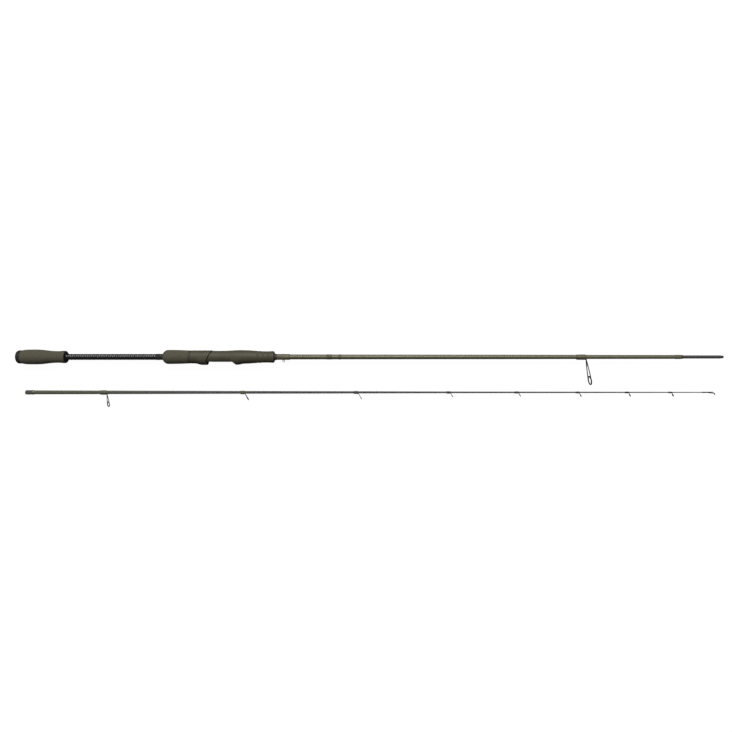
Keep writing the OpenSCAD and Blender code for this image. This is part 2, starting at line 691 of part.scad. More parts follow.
module stripper_frame() butt_frame() color(black)
  frame_shape(BUTT_TAPER, stripper_x, stripper_drop, stripper_loop_r, stripper_wire_r, stripper_foot,
    stripper_lean);
module stripper_ring() butt_frame() color(graphite)
  guide_ring(BUTT_TAPER, stripper_x, stripper_drop, stripper_loop_r, stripper_wire_r, stripper_lean);
module stripper_wrap() butt_frame() color(olive)
  guide_wrap(BUTT_TAPER, stripper_x, stripper_wire_r, stripper_foot);

module running_frame(i) tip_frame() color(black)
  frame_shape(TIP_TAPER, guide_x[i], guide_drop[i], guide_loop_r[i], guide_wire_r[i], guide_foot[i],
    guide_lean[i]);
module running_ring(i) tip_frame() color(graphite)
  guide_ring(TIP_TAPER, guide_x[i], guide_drop[i], guide_loop_r[i], guide_wire_r[i], guide_lean[i]);
module running_wrap(i) tip_frame() color(i < 2 ? olive : graphite)
  guide_wrap(TIP_TAPER, guide_x[i], guide_wire_r[i], guide_foot[i]);

// ---- Tip-top ----

tip_top_wire_r = 0.4;
tip_top_ring_r = wire_of_loop(tip_top_loop_r, tip_top_wire_r);
tip_top_end = tip_top_x + tip_top_tube;
tip_top_centre = [
  tip_top_end + 1.2 + tip_top_ring_r * sin(tip_top_lean), -tip_top_ring_r * cos(tip_top_lean) - 1.2, 0
];

module tip_top_frame() tip_frame() color(black)
  difference() {
    union() {
      turned([
        [0, tip_top_x], [tip_top_r, tip_top_x], [tip_top_r, tip_top_end - 1],
        [0.6 * tip_top_r, tip_top_end], [0, tip_top_end]
      ]);
      rod([tip_top_end - 1, 0, 0], [tip_top_end + 1.2, -1.2, 0], 1.3 * tip_top_wire_r);
      for (side = [-1, 1])
        rod([tip_top_x + 0.6 * tip_top_tube, -tip_top_r, side * 0.3],
          tip_top_centre + [0, 0, side * tip_top_ring_r], leg_share * tip_top_wire_r);
      translate(tip_top_centre) rotate([0, 90, tip_top_lean])
        rotate_extrude() translate([tip_top_ring_r, 0]) circle(r = tip_top_wire_r);
    }
    solid_blank(TIP_TAPER, tip_top_x - 1, tip_blank_len);
    translate(tip_top_centre) rotate([0, 90, tip_top_lean])
      cylinder(r = ring_outer(tip_top_loop_r, tip_top_wire_r), h = 6 * tip_top_wire_r, center = true);
  }

module tip_top_ring() tip_frame() color(graphite)
  translate(tip_top_centre) rotate([0, 0, tip_top_lean]) ring_shape(tip_top_loop_r, tip_top_wire_r);

// ---- The nodes ----

butt_cap();
butt_ring();
rear_grip();
rear_grip_check();
braided_sleeve();
handle_collar();
nut_grip();
lock_nut();
nut_ring();
sliding_hood();
reel_seat();
seat_arbor_rear();
seat_arbor_middle();
seat_arbor_front();
front_check();
fore_wrap();
hook_keeper_foot();
hook_keeper_ring();
butt_blank();
trim_band_wide();
trim_band_narrow();
stripper_frame();
stripper_ring();
stripper_wrap();
ferrule_wrap();
ferrule_check();
spigot();
spigot_plug();
tip_blank();
ferrule_collar();
tip_top_frame();
tip_top_ring();
for (i = [0:len(RUNNING) - 1]) running_frame(i);
for (i = [0:len(RUNNING) - 1]) running_ring(i);
for (i = [0:len(RUNNING) - 1]) running_wrap(i);
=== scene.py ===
import json
import logging
import math
from dataclasses import dataclass, field
from enum import Enum
from typing import Callable, Iterable, Sequence

import bmesh
import bpy
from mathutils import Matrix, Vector


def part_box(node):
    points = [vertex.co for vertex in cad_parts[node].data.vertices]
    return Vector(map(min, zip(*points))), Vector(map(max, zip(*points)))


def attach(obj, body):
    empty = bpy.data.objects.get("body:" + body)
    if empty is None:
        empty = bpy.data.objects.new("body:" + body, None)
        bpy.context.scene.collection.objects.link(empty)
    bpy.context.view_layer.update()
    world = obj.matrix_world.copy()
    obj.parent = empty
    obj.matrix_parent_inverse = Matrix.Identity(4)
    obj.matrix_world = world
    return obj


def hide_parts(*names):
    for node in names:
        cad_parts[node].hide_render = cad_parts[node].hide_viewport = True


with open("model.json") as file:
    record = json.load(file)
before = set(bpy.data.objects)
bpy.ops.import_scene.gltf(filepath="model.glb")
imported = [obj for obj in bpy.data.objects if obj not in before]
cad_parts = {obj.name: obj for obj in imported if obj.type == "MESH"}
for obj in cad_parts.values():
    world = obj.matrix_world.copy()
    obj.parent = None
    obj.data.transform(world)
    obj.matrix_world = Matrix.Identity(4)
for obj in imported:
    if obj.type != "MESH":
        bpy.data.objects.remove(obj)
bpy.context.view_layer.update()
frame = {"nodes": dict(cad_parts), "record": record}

LOG = logging.getLogger("spinning_rod")
MM = 0.001
# Distances in metres: one point, doubles that are merged, and the same station.
SAME, WELD, NEAR = 1e-7, 1e-6, 1e-5
Outline = list[tuple[float, float]]
Colour = tuple[float, float, float]


class Body(Enum):
    """The bodies that new pieces move with."""

    BUTT = "root"
    HOOD = "hood"
    NUT = "nut"
    TIP = "tip_section"


class Side(Enum):
    """The two sections of the rod, each by the node of its blank."""

    BUTT = "butt_blank"
    TIP = "tip_blank"


def srgb(red: float, green: float, blue: float) -> Colour:
    """Turns a colour of 0 to 255 a channel into the linear values that shaders take.

    Args:
        red: red as it looks on a screen.
        green: green as it looks on a screen.
        blue: blue as it looks on a screen.

    Returns:
        The linear colour.
    """

    def channel(value: float) -> float:
        """Straightens one channel."""
        part = value / 255
        return part / 12.92 if part <= 0.04045 else ((part + 0.055) / 1.055) ** 2.4

    return channel(red), channel(green), channel(blue)


# ---- Where things lie ----


@dataclass(frozen=True)
class SectionAxis:
    """The straight axis of one section, in the part's frame.

    Stations are millimetres from the section's own rear end.
    """

    start: float
    y: float
    z: float

    @classmethod
    def of(cls, side: Side, first_node: str) -> "SectionAxis":
        """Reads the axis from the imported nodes.

        Args:
            side: the section.
            first_node: the node that begins at station 0.

        Returns:
            The section's axis.
        """
        low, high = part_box(side.value)
        first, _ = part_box(first_node)
        return cls(first[0], (low[1] + high[1]) / 2, (low[2] + high[2]) / 2)

    def point(self, station: float, down: float = 0.0, up: float = 0.0) -> Vector:
        """Gives a point in metres, from millimetres along, towards the guides and above the axis."""
        return Vector((self.start + station * MM, self.y - down * MM, self.z + up * MM))


BUTT_AXIS = SectionAxis.of(Side.BUTT, "butt_cap")
TIP_AXIS = SectionAxis.of(Side.TIP, "tip_blank")
BUTT_TAPER: Outline = [(0, 4.62), (464.1, 4.54), (614.1, 4.30), (871.4, 4.06), (1043.4, 3.67), (1188.4, 3.48)]
TIP_TAPER: Outline = [
    (0, 3.58), (150, 3.21), (363.1, 2.56), (613.1, 1.97), (788.1, 1.5), (1011.1, 1.2), (1233.1, 0.75),
]


def on_taper(table: Outline, station: float) -> float:
    """Gives the radius of a tapered blank.

    Args:
        table: stations and radii.
        station: where the radius is wanted.

    Returns:
        The radius in millimetres.
    """
    for (x0, r0), (x1, r1) in zip(table, table[1:]):
        if station <= x1:
            return r0 + (r1 - r0) * (station - x0) / (x1 - x0)
    return table[-1][1]


def eased(points: Outline, step: float) -> Outline:
    """Draws a smooth outline through chosen points.

    Args:
        points: stations and radii, in order.
        step: spacing of the result along the axis, in millimetres.

    Returns:
        Stations and radii on a curve without overshoot.
    """
    slopes = [(b[1] - a[1]) / (b[0] - a[0]) for a, b in zip(points, points[1:])]
    tangents = [slopes[0]]
    for before, after in zip(slopes, slopes[1:]):
        tangents.append(0.0 if before * after <= 0 else 2 * before * after / (before + after))
    tangents.append(slopes[-1])
    out: Outline = []
    for index, ((x0, r0), (x1, r1)) in enumerate(zip(points, points[1:])):
        count = max(1, round((x1 - x0) / step))
        for n in range(count):
            t, span = n / count, x1 - x0
            out.append((
                x0 + t * span,
                (2 * t**3 - 3 * t**2 + 1) * r0 + (t**3 - 2 * t**2 + t) * span * tangents[index]
                + (3 * t**2 - 2 * t**3) * r1 + (t**3 - t**2) * span * tangents[index + 1],
            ))
    return [*out, points[-1]]


# ---- Materials ----


class Signal:
    """A shader socket that Python expressions can use."""

    def __init__(self, sheet: "Sheet", socket: bpy.types.NodeSocket) -> None:
        """Wraps a socket of a sheet."""
        self.sheet = sheet
        self.socket = socket

    def _math(self, operation: str, *values: "Signal | float") -> "Signal":
        """Adds a Math node and gives its result."""
        return self.sheet.math(operation, *values)

    def __add__(self, other: "Signal | float") -> "Signal":
        """Adds."""
        return self._math("ADD", self, other)

    def __radd__(self, other: float) -> "Signal":
        """Adds, number first."""
        return self._math("ADD", other, self)

    def __sub__(self, other: "Signal | float") -> "Signal":
        """Subtracts."""
        return self._math("SUBTRACT", self, other)

    def __rsub__(self, other: float) -> "Signal":
        """Subtracts from a number."""
        return self._math("SUBTRACT", other, self)

    def __mul__(self, other: "Signal | float") -> "Signal":
        """Multiplies."""
        return self._math("MULTIPLY", self, other)

    def __rmul__(self, other: float) -> "Signal":
        """Multiplies, number first."""
        return self._math("MULTIPLY", other, self)

    def __truediv__(self, other: "Signal | float") -> "Signal":
        """Divides."""
        return self._math("DIVIDE", self, other)

    def clipped(self) -> "Signal":
        """Keeps the value between 0 and 1."""
        return self._math("MINIMUM", self._math("MAXIMUM", self, 0.0), 1.0)


class Sheet:
    """One material's node tree, with one way to add any node."""

    def __init__(self, name: str) -> None:
        """Starts an empty material.

        Args:
            name: the material's name.
        """
        self.material = bpy.data.materials.new(name)
        self.material.use_nodes = True
        self.tree = self.material.node_tree
        self.tree.nodes.clear()

    def node(self, kind: str, settings: dict[str, object] | None = None, **sockets: object) -> bpy.types.Node:
        """Adds a node.

        Args:
            kind: the node's type, without the leading ShaderNode.
            settings: values of the node itself, or "stops" of its colour ramp.
            sockets: values or signals, by the socket's name with _ for a space, or in0, in1 for its place.

        Returns:
            The node.
        """
        made = self.tree.nodes.new("ShaderNode" + kind)
        for key, value in (settings or {}).items():
            if key == "stops":
                ramp = made.color_ramp.elements
                while len(ramp) < len(value):
                    ramp.new(0.5)
                for element, (place, colour) in zip(ramp, value):
                    element.position, element.color = place, (*colour, 1)
            else:
                setattr(made, key, value)
        for key, value in sockets.items():
            name = int(key[2:]) if key.startswith("in") and key[2:].isdigit() else key.replace("_", " ")
            target = made.inputs[name]
            if isinstance(value, Signal):
                self.tree.links.new(value.socket, target)
            elif isinstance(value, tuple) and len(value) == 3 and target.type == "RGBA":
                target.default_value = (*value, 1)
            else:
                target.default_value = value
        return made

    def out(
        self, kind: str, output: str | int = 0, settings: dict[str, object] | None = None, **sockets: object
    ) -> Signal:
        """Adds a node and gives one of its outputs as a signal."""
        return Signal(self, self.node(kind, settings, **sockets).outputs[output])

    def math(self, operation: str, *values: "Signal | float") -> Signal:
        """Adds a Math node and gives its result."""
        return self.out("Math", 0, {"operation": operation}, **{f"in{i}": v for i, v in enumerate(values)})

    def place(self) -> Signal:
        """Gives the point on the piece, in metres."""
        return self.out("TexCoord", "Object")

    def along(self) -> Signal:
        """Gives the distance along the rod, in metres."""
        return self.out("SeparateXYZ", "X", Vector=self.place())

    def noise(self, size: float, detail: float = 3.0, stretch: Colour = (1, 1, 1)) -> Signal:
        """Adds a cloudy pattern around 0.5 with a grain in metres, scaled along X, Y and Z by its stretch."""
        vector = self.out("Mapping", 0, None, Vector=self.place(), Scale=stretch)
        return self.out("TexNoise", 0, None, Vector=vector, Scale=1 / size, Detail=detail)

    def cells(self, size: float, output: str) -> Signal:
        """Adds cells of a size in metres, and gives their Distance or one Color a cell."""
        return self.out("TexVoronoi", output, {"feature": "F1"}, Vector=self.place(), Scale=1 / size)

    def mixed(self, share: Signal, first: "Signal | Colour", second: "Signal | Colour") -> Signal:
        """Mixes two colours: a share of 0 gives the first, 1 the second."""
        return self.out("Mix", 2, {"data_type": "RGBA"}, in0=share, in6=first, in7=second)

    def bump(self, height: Signal, depth: float, before: "Signal | None" = None) -> Signal:
        """Turns a height into a normal, with depth in metres, on top of the normal before it."""
        extra = {"Normal": before} if before else {}
        return self.out("Bump", 0, None, Height=height, Distance=depth, Strength=1.0, **extra)

    def surface(self, **sockets: object) -> bpy.types.Material:
        """Ends the material with one Principled surface.

        Args:
            sockets: the surface's values and signals.

        Returns:
            The finished material.
        """
        shader = self.out("BsdfPrincipled", 0, None, **sockets)
        self.node("OutputMaterial", None, Surface=shader)
        return self.material


@dataclass(frozen=True)
class Foam:
    """Closed-cell foam of the grips: fine pores, sanded matt, a little uneven in colour, with painted shade
    in each pore.
    """

    name: str = "grip_foam"
    colour: Colour = srgb(80, 77, 61)
    dark: Colour = srgb(58, 55, 43)
    cell: float = 0.00055

    def make(self) -> bpy.types.Material:
        """Builds the material."""
        sheet = Sheet(self.name)
        cells = sheet.cells(self.cell, "Distance")
        cloud = sheet.noise(0.006, 4)
        # Pores at the cell centres are the bump's pits, painted darker as painted shade; the cloud gives real
        # uneven tone.
        pores = (0.42 - cells).clipped() * 1.6
        shade = (cloud * 0.75 + pores - 0.18).clipped()
        normal = sheet.bump(cells, 0.00012, sheet.bump(sheet.noise(0.0016, 2), 0.0001))
        return sheet.surface(
            Base_Color=sheet.mixed(shade, self.colour, self.dark), Roughness=0.82 + 0.12 * cells,
            Normal=normal, Sheen_Weight=0.1, Sheen_Roughness=0.5,
        )


@dataclass(frozen=True)
class SoftTouch:
    """Soft-touch paint on the reel seat and its hood."""

    name: str = "soft_touch"
    colour: Colour = srgb(78, 75, 61)
    dark: Colour = srgb(64, 60, 48)

    def make(self) -> bpy.types.Material:
        """Builds the material."""
        sheet = Sheet(self.name)
        cloud = sheet.noise(0.009, 3)
        grit = sheet.noise(0.00025, 2)
        return sheet.surface(
            Base_Color=sheet.mixed((cloud * 0.9 + grit * 0.25 - 0.1).clipped(), self.colour, self.dark),
            Roughness=0.5 + 0.14 * grit, Normal=sheet.bump(grit, 0.00003), Specular_IOR_Level=0.3,
        )


@dataclass(frozen=True)
class Moulded:
    """Plain moulded plastic, rubber or anodised trim with a fine grain."""

    name: str
    colour: Colour
    roughness: float
    metallic: float = 0.0
    coat: float = 0.0
    grain: float = 0.0004
    depth: float = 0.00002

    def make(self) -> bpy.types.Material:
        """Builds the material."""
        sheet = Sheet(self.name)
        grain = sheet.noise(self.grain, 2)
        wear = sheet.noise(0.004, 3)
        lighter = tuple(min(1.0, c * 1.45 + 0.004) for c in self.colour)
        return sheet.surface(
            Base_Color=sheet.mixed((wear - 0.25).clipped(), self.colour, lighter),
            Roughness=self.roughness + 0.1 * (grain - 0.5), Metallic=self.metallic, Coat_Weight=self.coat,
            Coat_Roughness=0.06, Normal=sheet.bump(grain, self.depth),
        )


@dataclass(frozen=True)
class Lacquer:
    """The coat on a blank: colours that change along it, under a satin clear coat, with flake specks painted
    lighter and darker as painted glints.
    """

    name: str
    stops: tuple[tuple[float, Colour], ...]
    first_x: float
    last_x: float
    roughness: float = 0.42
    coat: float = 0.1
    flake: float = 0.00035
    # Shades that the flake specks multiply the colour by: painted glints of the flakes.
    flake_glint_shades: tuple[tuple[float, Colour], ...] = ((0.2, (0.6, 0.6, 0.6)), (0.8, (1.35, 1.35, 1.35)))

    def make(self) -> bpy.types.Material:
        """Builds the material."""
        sheet = Sheet(self.name)
        share = ((sheet.along() - self.first_x) / (self.last_x - self.first_x)).clipped()
        fade = sheet.out("ValToRGB", "Color", {"stops": self.stops}, Fac=share)
        # One value a flake cell, painted lighter or darker in the base colour: painted glints of the flakes.
        flake = sheet.out("SeparateColor", 0, None, Color=sheet.cells(self.flake, "Color"))
        band = sheet.noise(0.004, 2, (0.02, 1, 1))
        deeper = sheet.out(
            "Mix", 2, {"data_type": "RGBA", "blend_type": "MULTIPLY"}, in0=0.35, in6=fade,
            in7=sheet.out("ValToRGB", "Color", {"stops": self.flake_glint_shades}, Fac=flake),
        )
        return sheet.surface(
            Base_Color=deeper, Roughness=self.roughness + 0.12 * (band - 0.5), Metallic=0.12,
            Coat_Weight=self.coat, Coat_Roughness=0.2, Normal=sheet.bump(band, 0.00002),
        )


@dataclass(frozen=True)
class Thread:
    """Thread wound round a blank and covered with clear epoxy, each turn painted darker in its groove and
    lighter on its crest: painted shade and painted highlight.
    """

    name: str
    colour: Colour
    pitch: float = 0.00022

    def make(self) -> bpy.types.Material:
        """Builds the material."""
        sheet = Sheet(self.name)
        # The turn wave paints shade in the grooves between turns and a highlight on the crests; the pool
        # noise adds real uneven epoxy tone.
        turns = sheet.math("SINE", sheet.along() * (2 * math.pi / self.pitch)) * 0.5 + 0.5
        groove_shade = tuple(c * 0.7 for c in self.colour)
        lighter = tuple(c * 1.5 + 0.004 for c in self.colour)
        pool = sheet.noise(0.002, 2)
        return sheet.surface(
            Base_Color=sheet.mixed((turns * 0.7 + pool * 0.4).clipped(), groove_shade, lighter),
            Roughness=0.4 + 0.12 * pool, Specular_IOR_Level=0.3, Coat_Weight=0.12, Coat_Roughness=0.18,
            Normal=sheet.bump(pool, 0.00004, sheet.bump(turns, 0.00002)),
        )


@dataclass(frozen=True)
class Braid:
    """Carbon tape of the braided shaft, with its fibres showing under gloss."""

    name: str = "braid_tape"
    dark: Colour = srgb(6, 6, 7)
    light: Colour = srgb(30, 30, 31)

    def make(self) -> bpy.types.Material:
        """Builds the material."""
        sheet = Sheet(self.name)
        fibres = sheet.noise(0.00016, 2, (0.12, 1, 1))
        cloud = sheet.noise(0.003, 2)
        return sheet.surface(
            Base_Color=sheet.mixed((fibres * 0.8 + cloud * 0.4 - 0.1).clipped(), self.dark, self.light),
            Roughness=0.3 + 0.2 * fibres, Specular_IOR_Level=0.12, Coat_Weight=0.85, Coat_Roughness=0.05,
            Normal=sheet.bump(fibres, 0.00003),
        )


@dataclass(frozen=True)
class Metal:
    """Plated or polished metal with a faint drawn grain."""

    name: str
    colour: Colour
    roughness: float

    def make(self) -> bpy.types.Material:
        """Builds the material."""
        sheet = Sheet(self.name)
        grain = sheet.noise(0.0003, 3)
        wear = sheet.noise(0.002, 2)
        lighter = tuple(min(1.0, c * 1.5) for c in self.colour)
        return sheet.surface(
            Base_Color=sheet.mixed((wear - 0.3).clipped(), self.colour, lighter), Metallic=1.0,
            Roughness=self.roughness + 0.12 * (grain - 0.5), Normal=sheet.bump(grain, 0.00001),
        )


class Finishes:
    """Every finish of the rod, each built once."""

    OWN_FINISH = {
        "tip_blank": "tip_paint",
        "handle_collar": "collar_black",
        "nut_ring": "nut_trim",
        "front_check": "check_trim",
    }

    def __init__(self) -> None:
        """Builds the materials by the record's slot names."""
        olive_rear, olive_mid, olive_front = srgb(90, 85, 62), srgb(90, 88, 66), srgb(90, 90, 67)
        graphite = srgb(50, 49, 50)
        butt_first, butt_last = BUTT_AXIS.point(460).x, BUTT_AXIS.point(1190).x
        tip_first, tip_last = TIP_AXIS.point(0).x, TIP_AXIS.point(1236).x
        finishes = {
            "foam": Foam(),
            "seat_rubber": SoftTouch(),
            "cap_rubber": Moulded("cap_rubber", srgb(17, 16, 15), 0.7, depth=0.00004),
            "carbon_braid": Braid(),
            "grey_trim": Moulded("grey_trim", srgb(44, 43, 41), 0.4, metallic=0.3),
            "black_trim": Moulded("black_trim", srgb(22, 21, 20), 0.45),
            "collar_black": Moulded("collar_black", srgb(18, 17, 17), 0.25, coat=0.7),
            "nut_trim": Moulded("nut_trim", srgb(54, 50, 40), 0.6),
            "check_trim": Moulded("check_trim", srgb(40, 36, 30), 0.6),
            "spigot_carbon": Moulded("spigot_carbon", srgb(56, 54, 54), 0.4, coat=0.2),
            "arbor_foam": Moulded("arbor_foam", srgb(205, 198, 178), 0.8, depth=0.00008),
            "blank_paint": Lacquer(
                "butt_lacquer", ((0.0, olive_rear), (0.35, olive_mid), (1.0, olive_front)),
                butt_first, butt_last,
            ),
            "tip_paint": Lacquer(
                "tip_lacquer",
                ((0.0, srgb(84, 87, 68)), (0.1, srgb(80, 82, 66)), (0.18, srgb(74, 75, 69)),
                 (0.4, srgb(52, 52, 52)), (0.6, graphite), (1.0, graphite)),
                tip_first, tip_last,
            ),
            "collar_gloss": Moulded("collar_gloss", srgb(72, 72, 64), 0.2, coat=0.8),
            "keeper_chrome": Metal("keeper_chrome", srgb(150, 150, 152), 0.2),
            "trim_thread": Thread("trim_thread", srgb(70, 66, 52)),
            "olive_thread": Thread("olive_thread", srgb(82, 78, 60)),
            "dark_thread": Thread("dark_thread", srgb(46, 46, 44)),
            "guide_frame": Metal("guide_frame", srgb(26, 26, 28), 0.4),
            "guide_ring": Moulded("guide_ring", srgb(38, 38, 41), 0.22, coat=0.4),
        }
        self.by_slot = {slot: finish.make() for slot, finish in finishes.items()}

    def dress_node(self, node: str, slot: str) -> None:
        """Gives a carried-over node its own finish, or else the finish of its slot."""
        for place in frame["nodes"][node].material_slots:
            place.material = self.by_slot[self.OWN_FINISH.get(node, slot)]

    def dress(self, piece: bpy.types.Object, slot: str) -> None:
        """Gives a new piece the finish of its slot."""
        piece.data.materials.clear()
        piece.data.materials.append(self.by_slot[slot])


# ---- The workbench ----


class Bench:
    """Modelling steps by operators, each on the piece in hand."""

    @staticmethod
    def clear() -> None:
        """Leaves edit mode and deselects everything."""
        if bpy.context.mode != "OBJECT":
            bpy.ops.object.mode_set(mode="OBJECT")
        bpy.ops.object.select_all(action="DESELECT")

    @staticmethod
    def hold(piece: bpy.types.Object) -> None:
        """Makes one piece the only selected and active one."""
        Bench.clear()
        piece.select_set(True)
        bpy.context.view_layer.objects.active = piece

    @staticmethod
    def settle(name: str) -> bpy.types.Object:
        """Names the piece just added and applies its placing to its mesh."""
        piece = bpy.context.object
        piece.name = piece.data.name = name
        bpy.ops.object.transform_apply(location=True, rotation=True, scale=True)
        return piece

    @staticmethod
    def edit() -> None:
        """Opens the active piece in edit mode with all of it selected."""
        bpy.ops.object.mode_set(mode="EDIT")
        bpy.ops.mesh.select_all(action="SELECT")

    @staticmethod
    def turn(piece: bpy.types.Object, angle: float, axis: str, centre: Vector) -> None:
        """Turns a piece's whole mesh about a point.

        Args:
            piece: the piece.
            angle: radians.
            axis: X, Y or Z.
            centre: the point that stays in place.
        """
        Bench.hold(piece)
        Bench.edit()
        bpy.ops.transform.rotate(value=angle, orient_axis=axis, center_override=centre)
        bpy.ops.object.mode_set(mode="OBJECT")

    @staticmethod
    def pick(test: Callable[[Vector], bool]) -> int:
        """Selects vertices of the piece in edit mode by their place.

        Args:
            test: says whether a point is wanted.

        Returns:
            How many were selected.
        """
        bpy.ops.mesh.select_mode(type="VERT")
        mesh = bpy.context.edit_object.data
        shape = bmesh.from_edit_mesh(mesh)
        count = 0
        for vertex in shape.verts:
            vertex.select = bool(test(vertex.co))
            count += vertex.select
        shape.select_flush_mode()
        bmesh.update_edit_mesh(mesh)
        return count

    @staticmethod
    def draw(name: str, points: Sequence[Vector], closed: bool) -> bpy.types.Object:
        """Draws a chain of edges, left in edit mode with all selected.

        Args:
            name: the piece's name.
            points: the corners in metres.
            closed: joins the last corner to the first.

        Returns:
            The piece.
        """
        Bench.clear()
        bpy.ops.mesh.primitive_plane_add(size=MM, location=points[0])
        piece = Bench.settle(name)
        bpy.ops.object.mode_set(mode="EDIT")
        bpy.ops.mesh.select_mode(type="VERT")
        bpy.ops.mesh.select_all(action="SELECT")
        bpy.ops.mesh.merge(type="CENTER")
        for before, after in zip(points, points[1:]):
            bpy.ops.mesh.extrude_region_move(TRANSFORM_OT_translate={"value": after - before})
        if closed:
            Bench.pick(lambda co: min((co - points[0]).length, (co - points[-1]).length) < SAME)
            bpy.ops.mesh.edge_face_add()
        bpy.ops.mesh.select_all(action="SELECT")
        return piece

    @staticmethod
    def tidy(piece: bpy.types.Object, angle: float = 35.0) -> bpy.types.Object:
        """Merges doubles, turns the faces outwards and smooths edges below an angle in degrees."""
        if bpy.context.mode != "EDIT_MESH":
            Bench.hold(piece)
            bpy.ops.object.mode_set(mode="EDIT")
        bpy.ops.mesh.select_all(action="SELECT")
        bpy.ops.mesh.remove_doubles(threshold=WELD)
        bpy.ops.mesh.select_all(action="SELECT")
        bpy.ops.mesh.normals_make_consistent(inside=False)
        bpy.ops.object.mode_set(mode="OBJECT")
        Bench.hold(piece)
        bpy.ops.object.shade_smooth_by_angle(angle=math.radians(angle))
        return piece

    @staticmethod
    def turned(
        name: str, axis: SectionAxis, outline: Outline, closed: bool = True, sides: int = 64
    ) -> bpy.types.Object:
        """Turns an outline about a section's axis.

        Args:
            name: the piece's name.
            axis: the section's axis.
            outline: stations and radii.
            closed: joins the end of the outline to its start.
            sides: faces round the piece.

        Returns:
            The piece, in object mode.
        """
        piece = Bench.draw(name, [axis.point(x, 0, r) for x, r in outline], closed)
        bpy.ops.mesh.spin(steps=sides, angle=2 * math.pi, center=axis.point(0), axis=(1, 0, 0))
        return Bench.tidy(piece)

    @staticmethod
    def apply(piece: bpy.types.Object, kind: str, **settings: object) -> None:
        """Adds a modifier and applies it at once."""
        Bench.hold(piece)
        modifier = piece.modifiers.new(kind.lower(), kind)
        for key, value in settings.items():
            setattr(modifier, key, value)
        bpy.ops.object.modifier_apply(modifier=modifier.name)

    @staticmethod
    def cut(piece: bpy.types.Object, *cutters: bpy.types.Object, operation: str = "DIFFERENCE") -> None:
        """Cuts or joins other pieces by boolean, and removes them.

        Args:
            piece: the piece that stays.
            cutters: the other pieces.
            operation: the modifier's operation.
        """
        for cutter in cutters:
            Bench.apply(piece, "BOOLEAN", operation=operation, object=cutter, solver="EXACT")
            bpy.data.objects.remove(cutter)

    @staticmethod
    def block(low: Vector, high: Vector) -> bpy.types.Object:
        """Makes a box between two corners."""
        Bench.clear()
        bpy.ops.mesh.primitive_cube_add(size=1, location=(low + high) / 2)
        bpy.context.object.scale = high - low
        return Bench.settle("block")

    @staticmethod
    def slab(
        axis: SectionAxis, rear: float, front: float, near: float, far: float, half: float
    ) -> bpy.types.Object:
        """Makes a box between two stations and two distances towards the guides, half its width each way."""
        return Bench.block(axis.point(rear, near, -half), axis.point(front, far, half))

    @staticmethod
    def join(name: str, pieces: Sequence[bpy.types.Object]) -> bpy.types.Object:
        """Joins pieces into one mesh.

        Args:
            name: the joined piece's name.
            pieces: the pieces.

        Returns:
            The joined piece.
        """
        Bench.hold(pieces[0])
        for piece in pieces:
            piece.select_set(True)
        bpy.ops.object.join()
        pieces[0].name = pieces[0].data.name = name
        return pieces[0]

    @staticmethod
    def repeat(piece: bpy.types.Object, turns: Iterable[float], axis: SectionAxis) -> list[bpy.types.Object]:
        """Copies a piece round a section's axis, each copy with its own mesh.

        Args:
            piece: the piece to copy.
            turns: angles in radians.
            axis: the section's axis.

        Returns:
            The copies.
        """
        copies = []
        for turn in turns:
            Bench.hold(piece)
            bpy.ops.object.duplicate(linked=False)
            copies.append(bpy.context.object)
            Bench.turn(copies[-1], turn, "X", axis.point(0))
        return copies


@dataclass
class SubAssembly:
    """What every sub-assembly shares: its finishes and the list of what it made."""

    finishes: Finishes
    made: list[str] = field(default_factory=list, init=False)

    def seat(self, piece: bpy.types.Object, body: Body, slot: str, *nodes: str) -> bpy.types.Object:
        """Finishes a piece: its body, its slot and the nodes that it stands for.

        Args:
            piece: the new piece.
            body: the body that it moves with.
            slot: the record's slot.
            nodes: the nodes that it replaces.

        Returns:
            The piece.
        """
        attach(piece, body.value)
        if nodes:
            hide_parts(*nodes)
        self.finishes.dress(piece, slot)
        self.made.append(piece.name)
        faces = len(piece.data.polygons)
        LOG.info("%s: %s on %s, %d faces", type(self).__name__, piece.name, body.value, faces)
        return piece


# ---- Rear grip and split handle ----


@dataclass
class RearGrip(SubAssembly):
    """The domed butt cap and the foam rear grip."""

    cap_outline: Outline = field(default_factory=lambda: [
        (4.15, 0), (4.15, 11.5), (3.95, 11.8), (3.2, 11.82), (2.3, 11.6), (1.4, 11.0), (0.75, 9.9),
        (0.35, 8.3), (0.15, 6.2), (0.35, 6.0), (0.35, 5.6), (0.12, 5.4), (0.02, 3.0), (0, 0),
    ])
    grip_points: Outline = field(default_factory=lambda: [
        (8.5, 11.2), (9.3, 11.9), (10.7, 12.4), (16.8, 13.05), (25, 13.3), (32.8, 13.35), (40.5, 13.1),
        (49.5, 12.3), (59.4, 11.1), (67.8, 10.6), (73.2, 10.5), (80, 10.8), (83.7, 11.12), (85.9, 11.02),
        (86.6, 10.5),
    ])
    bore: float = 4.55

    def build_cap(self) -> None:
        """Turns the domed cap with a shallow ring round its middle."""
        piece = Bench.turned("butt_cap_dome", BUTT_AXIS, self.cap_outline, closed=False, sides=96)
        sharp = math.radians(40)
        Bench.apply(piece, "BEVEL", width=0.12 * MM, segments=2, limit_method="ANGLE", angle_limit=sharp)
        self.seat(piece, Body.BUTT, "cap_rubber", "butt_cap")

    def build_grip(self) -> None:
        """Turns the swelling foam grip with soft ends."""
        skin = eased(self.grip_points, 1.0)
        outline = [(skin[0][0], self.bore), *skin, (skin[-1][0], self.bore)]
        piece = Bench.turned("rear_grip_foam", BUTT_AXIS, outline, sides=96)
        self.seat(piece, Body.BUTT, "foam", "rear_grip")

    def build(self) -> None:
        """Builds the sub-assembly."""
        self.build_cap()
        self.build_grip()


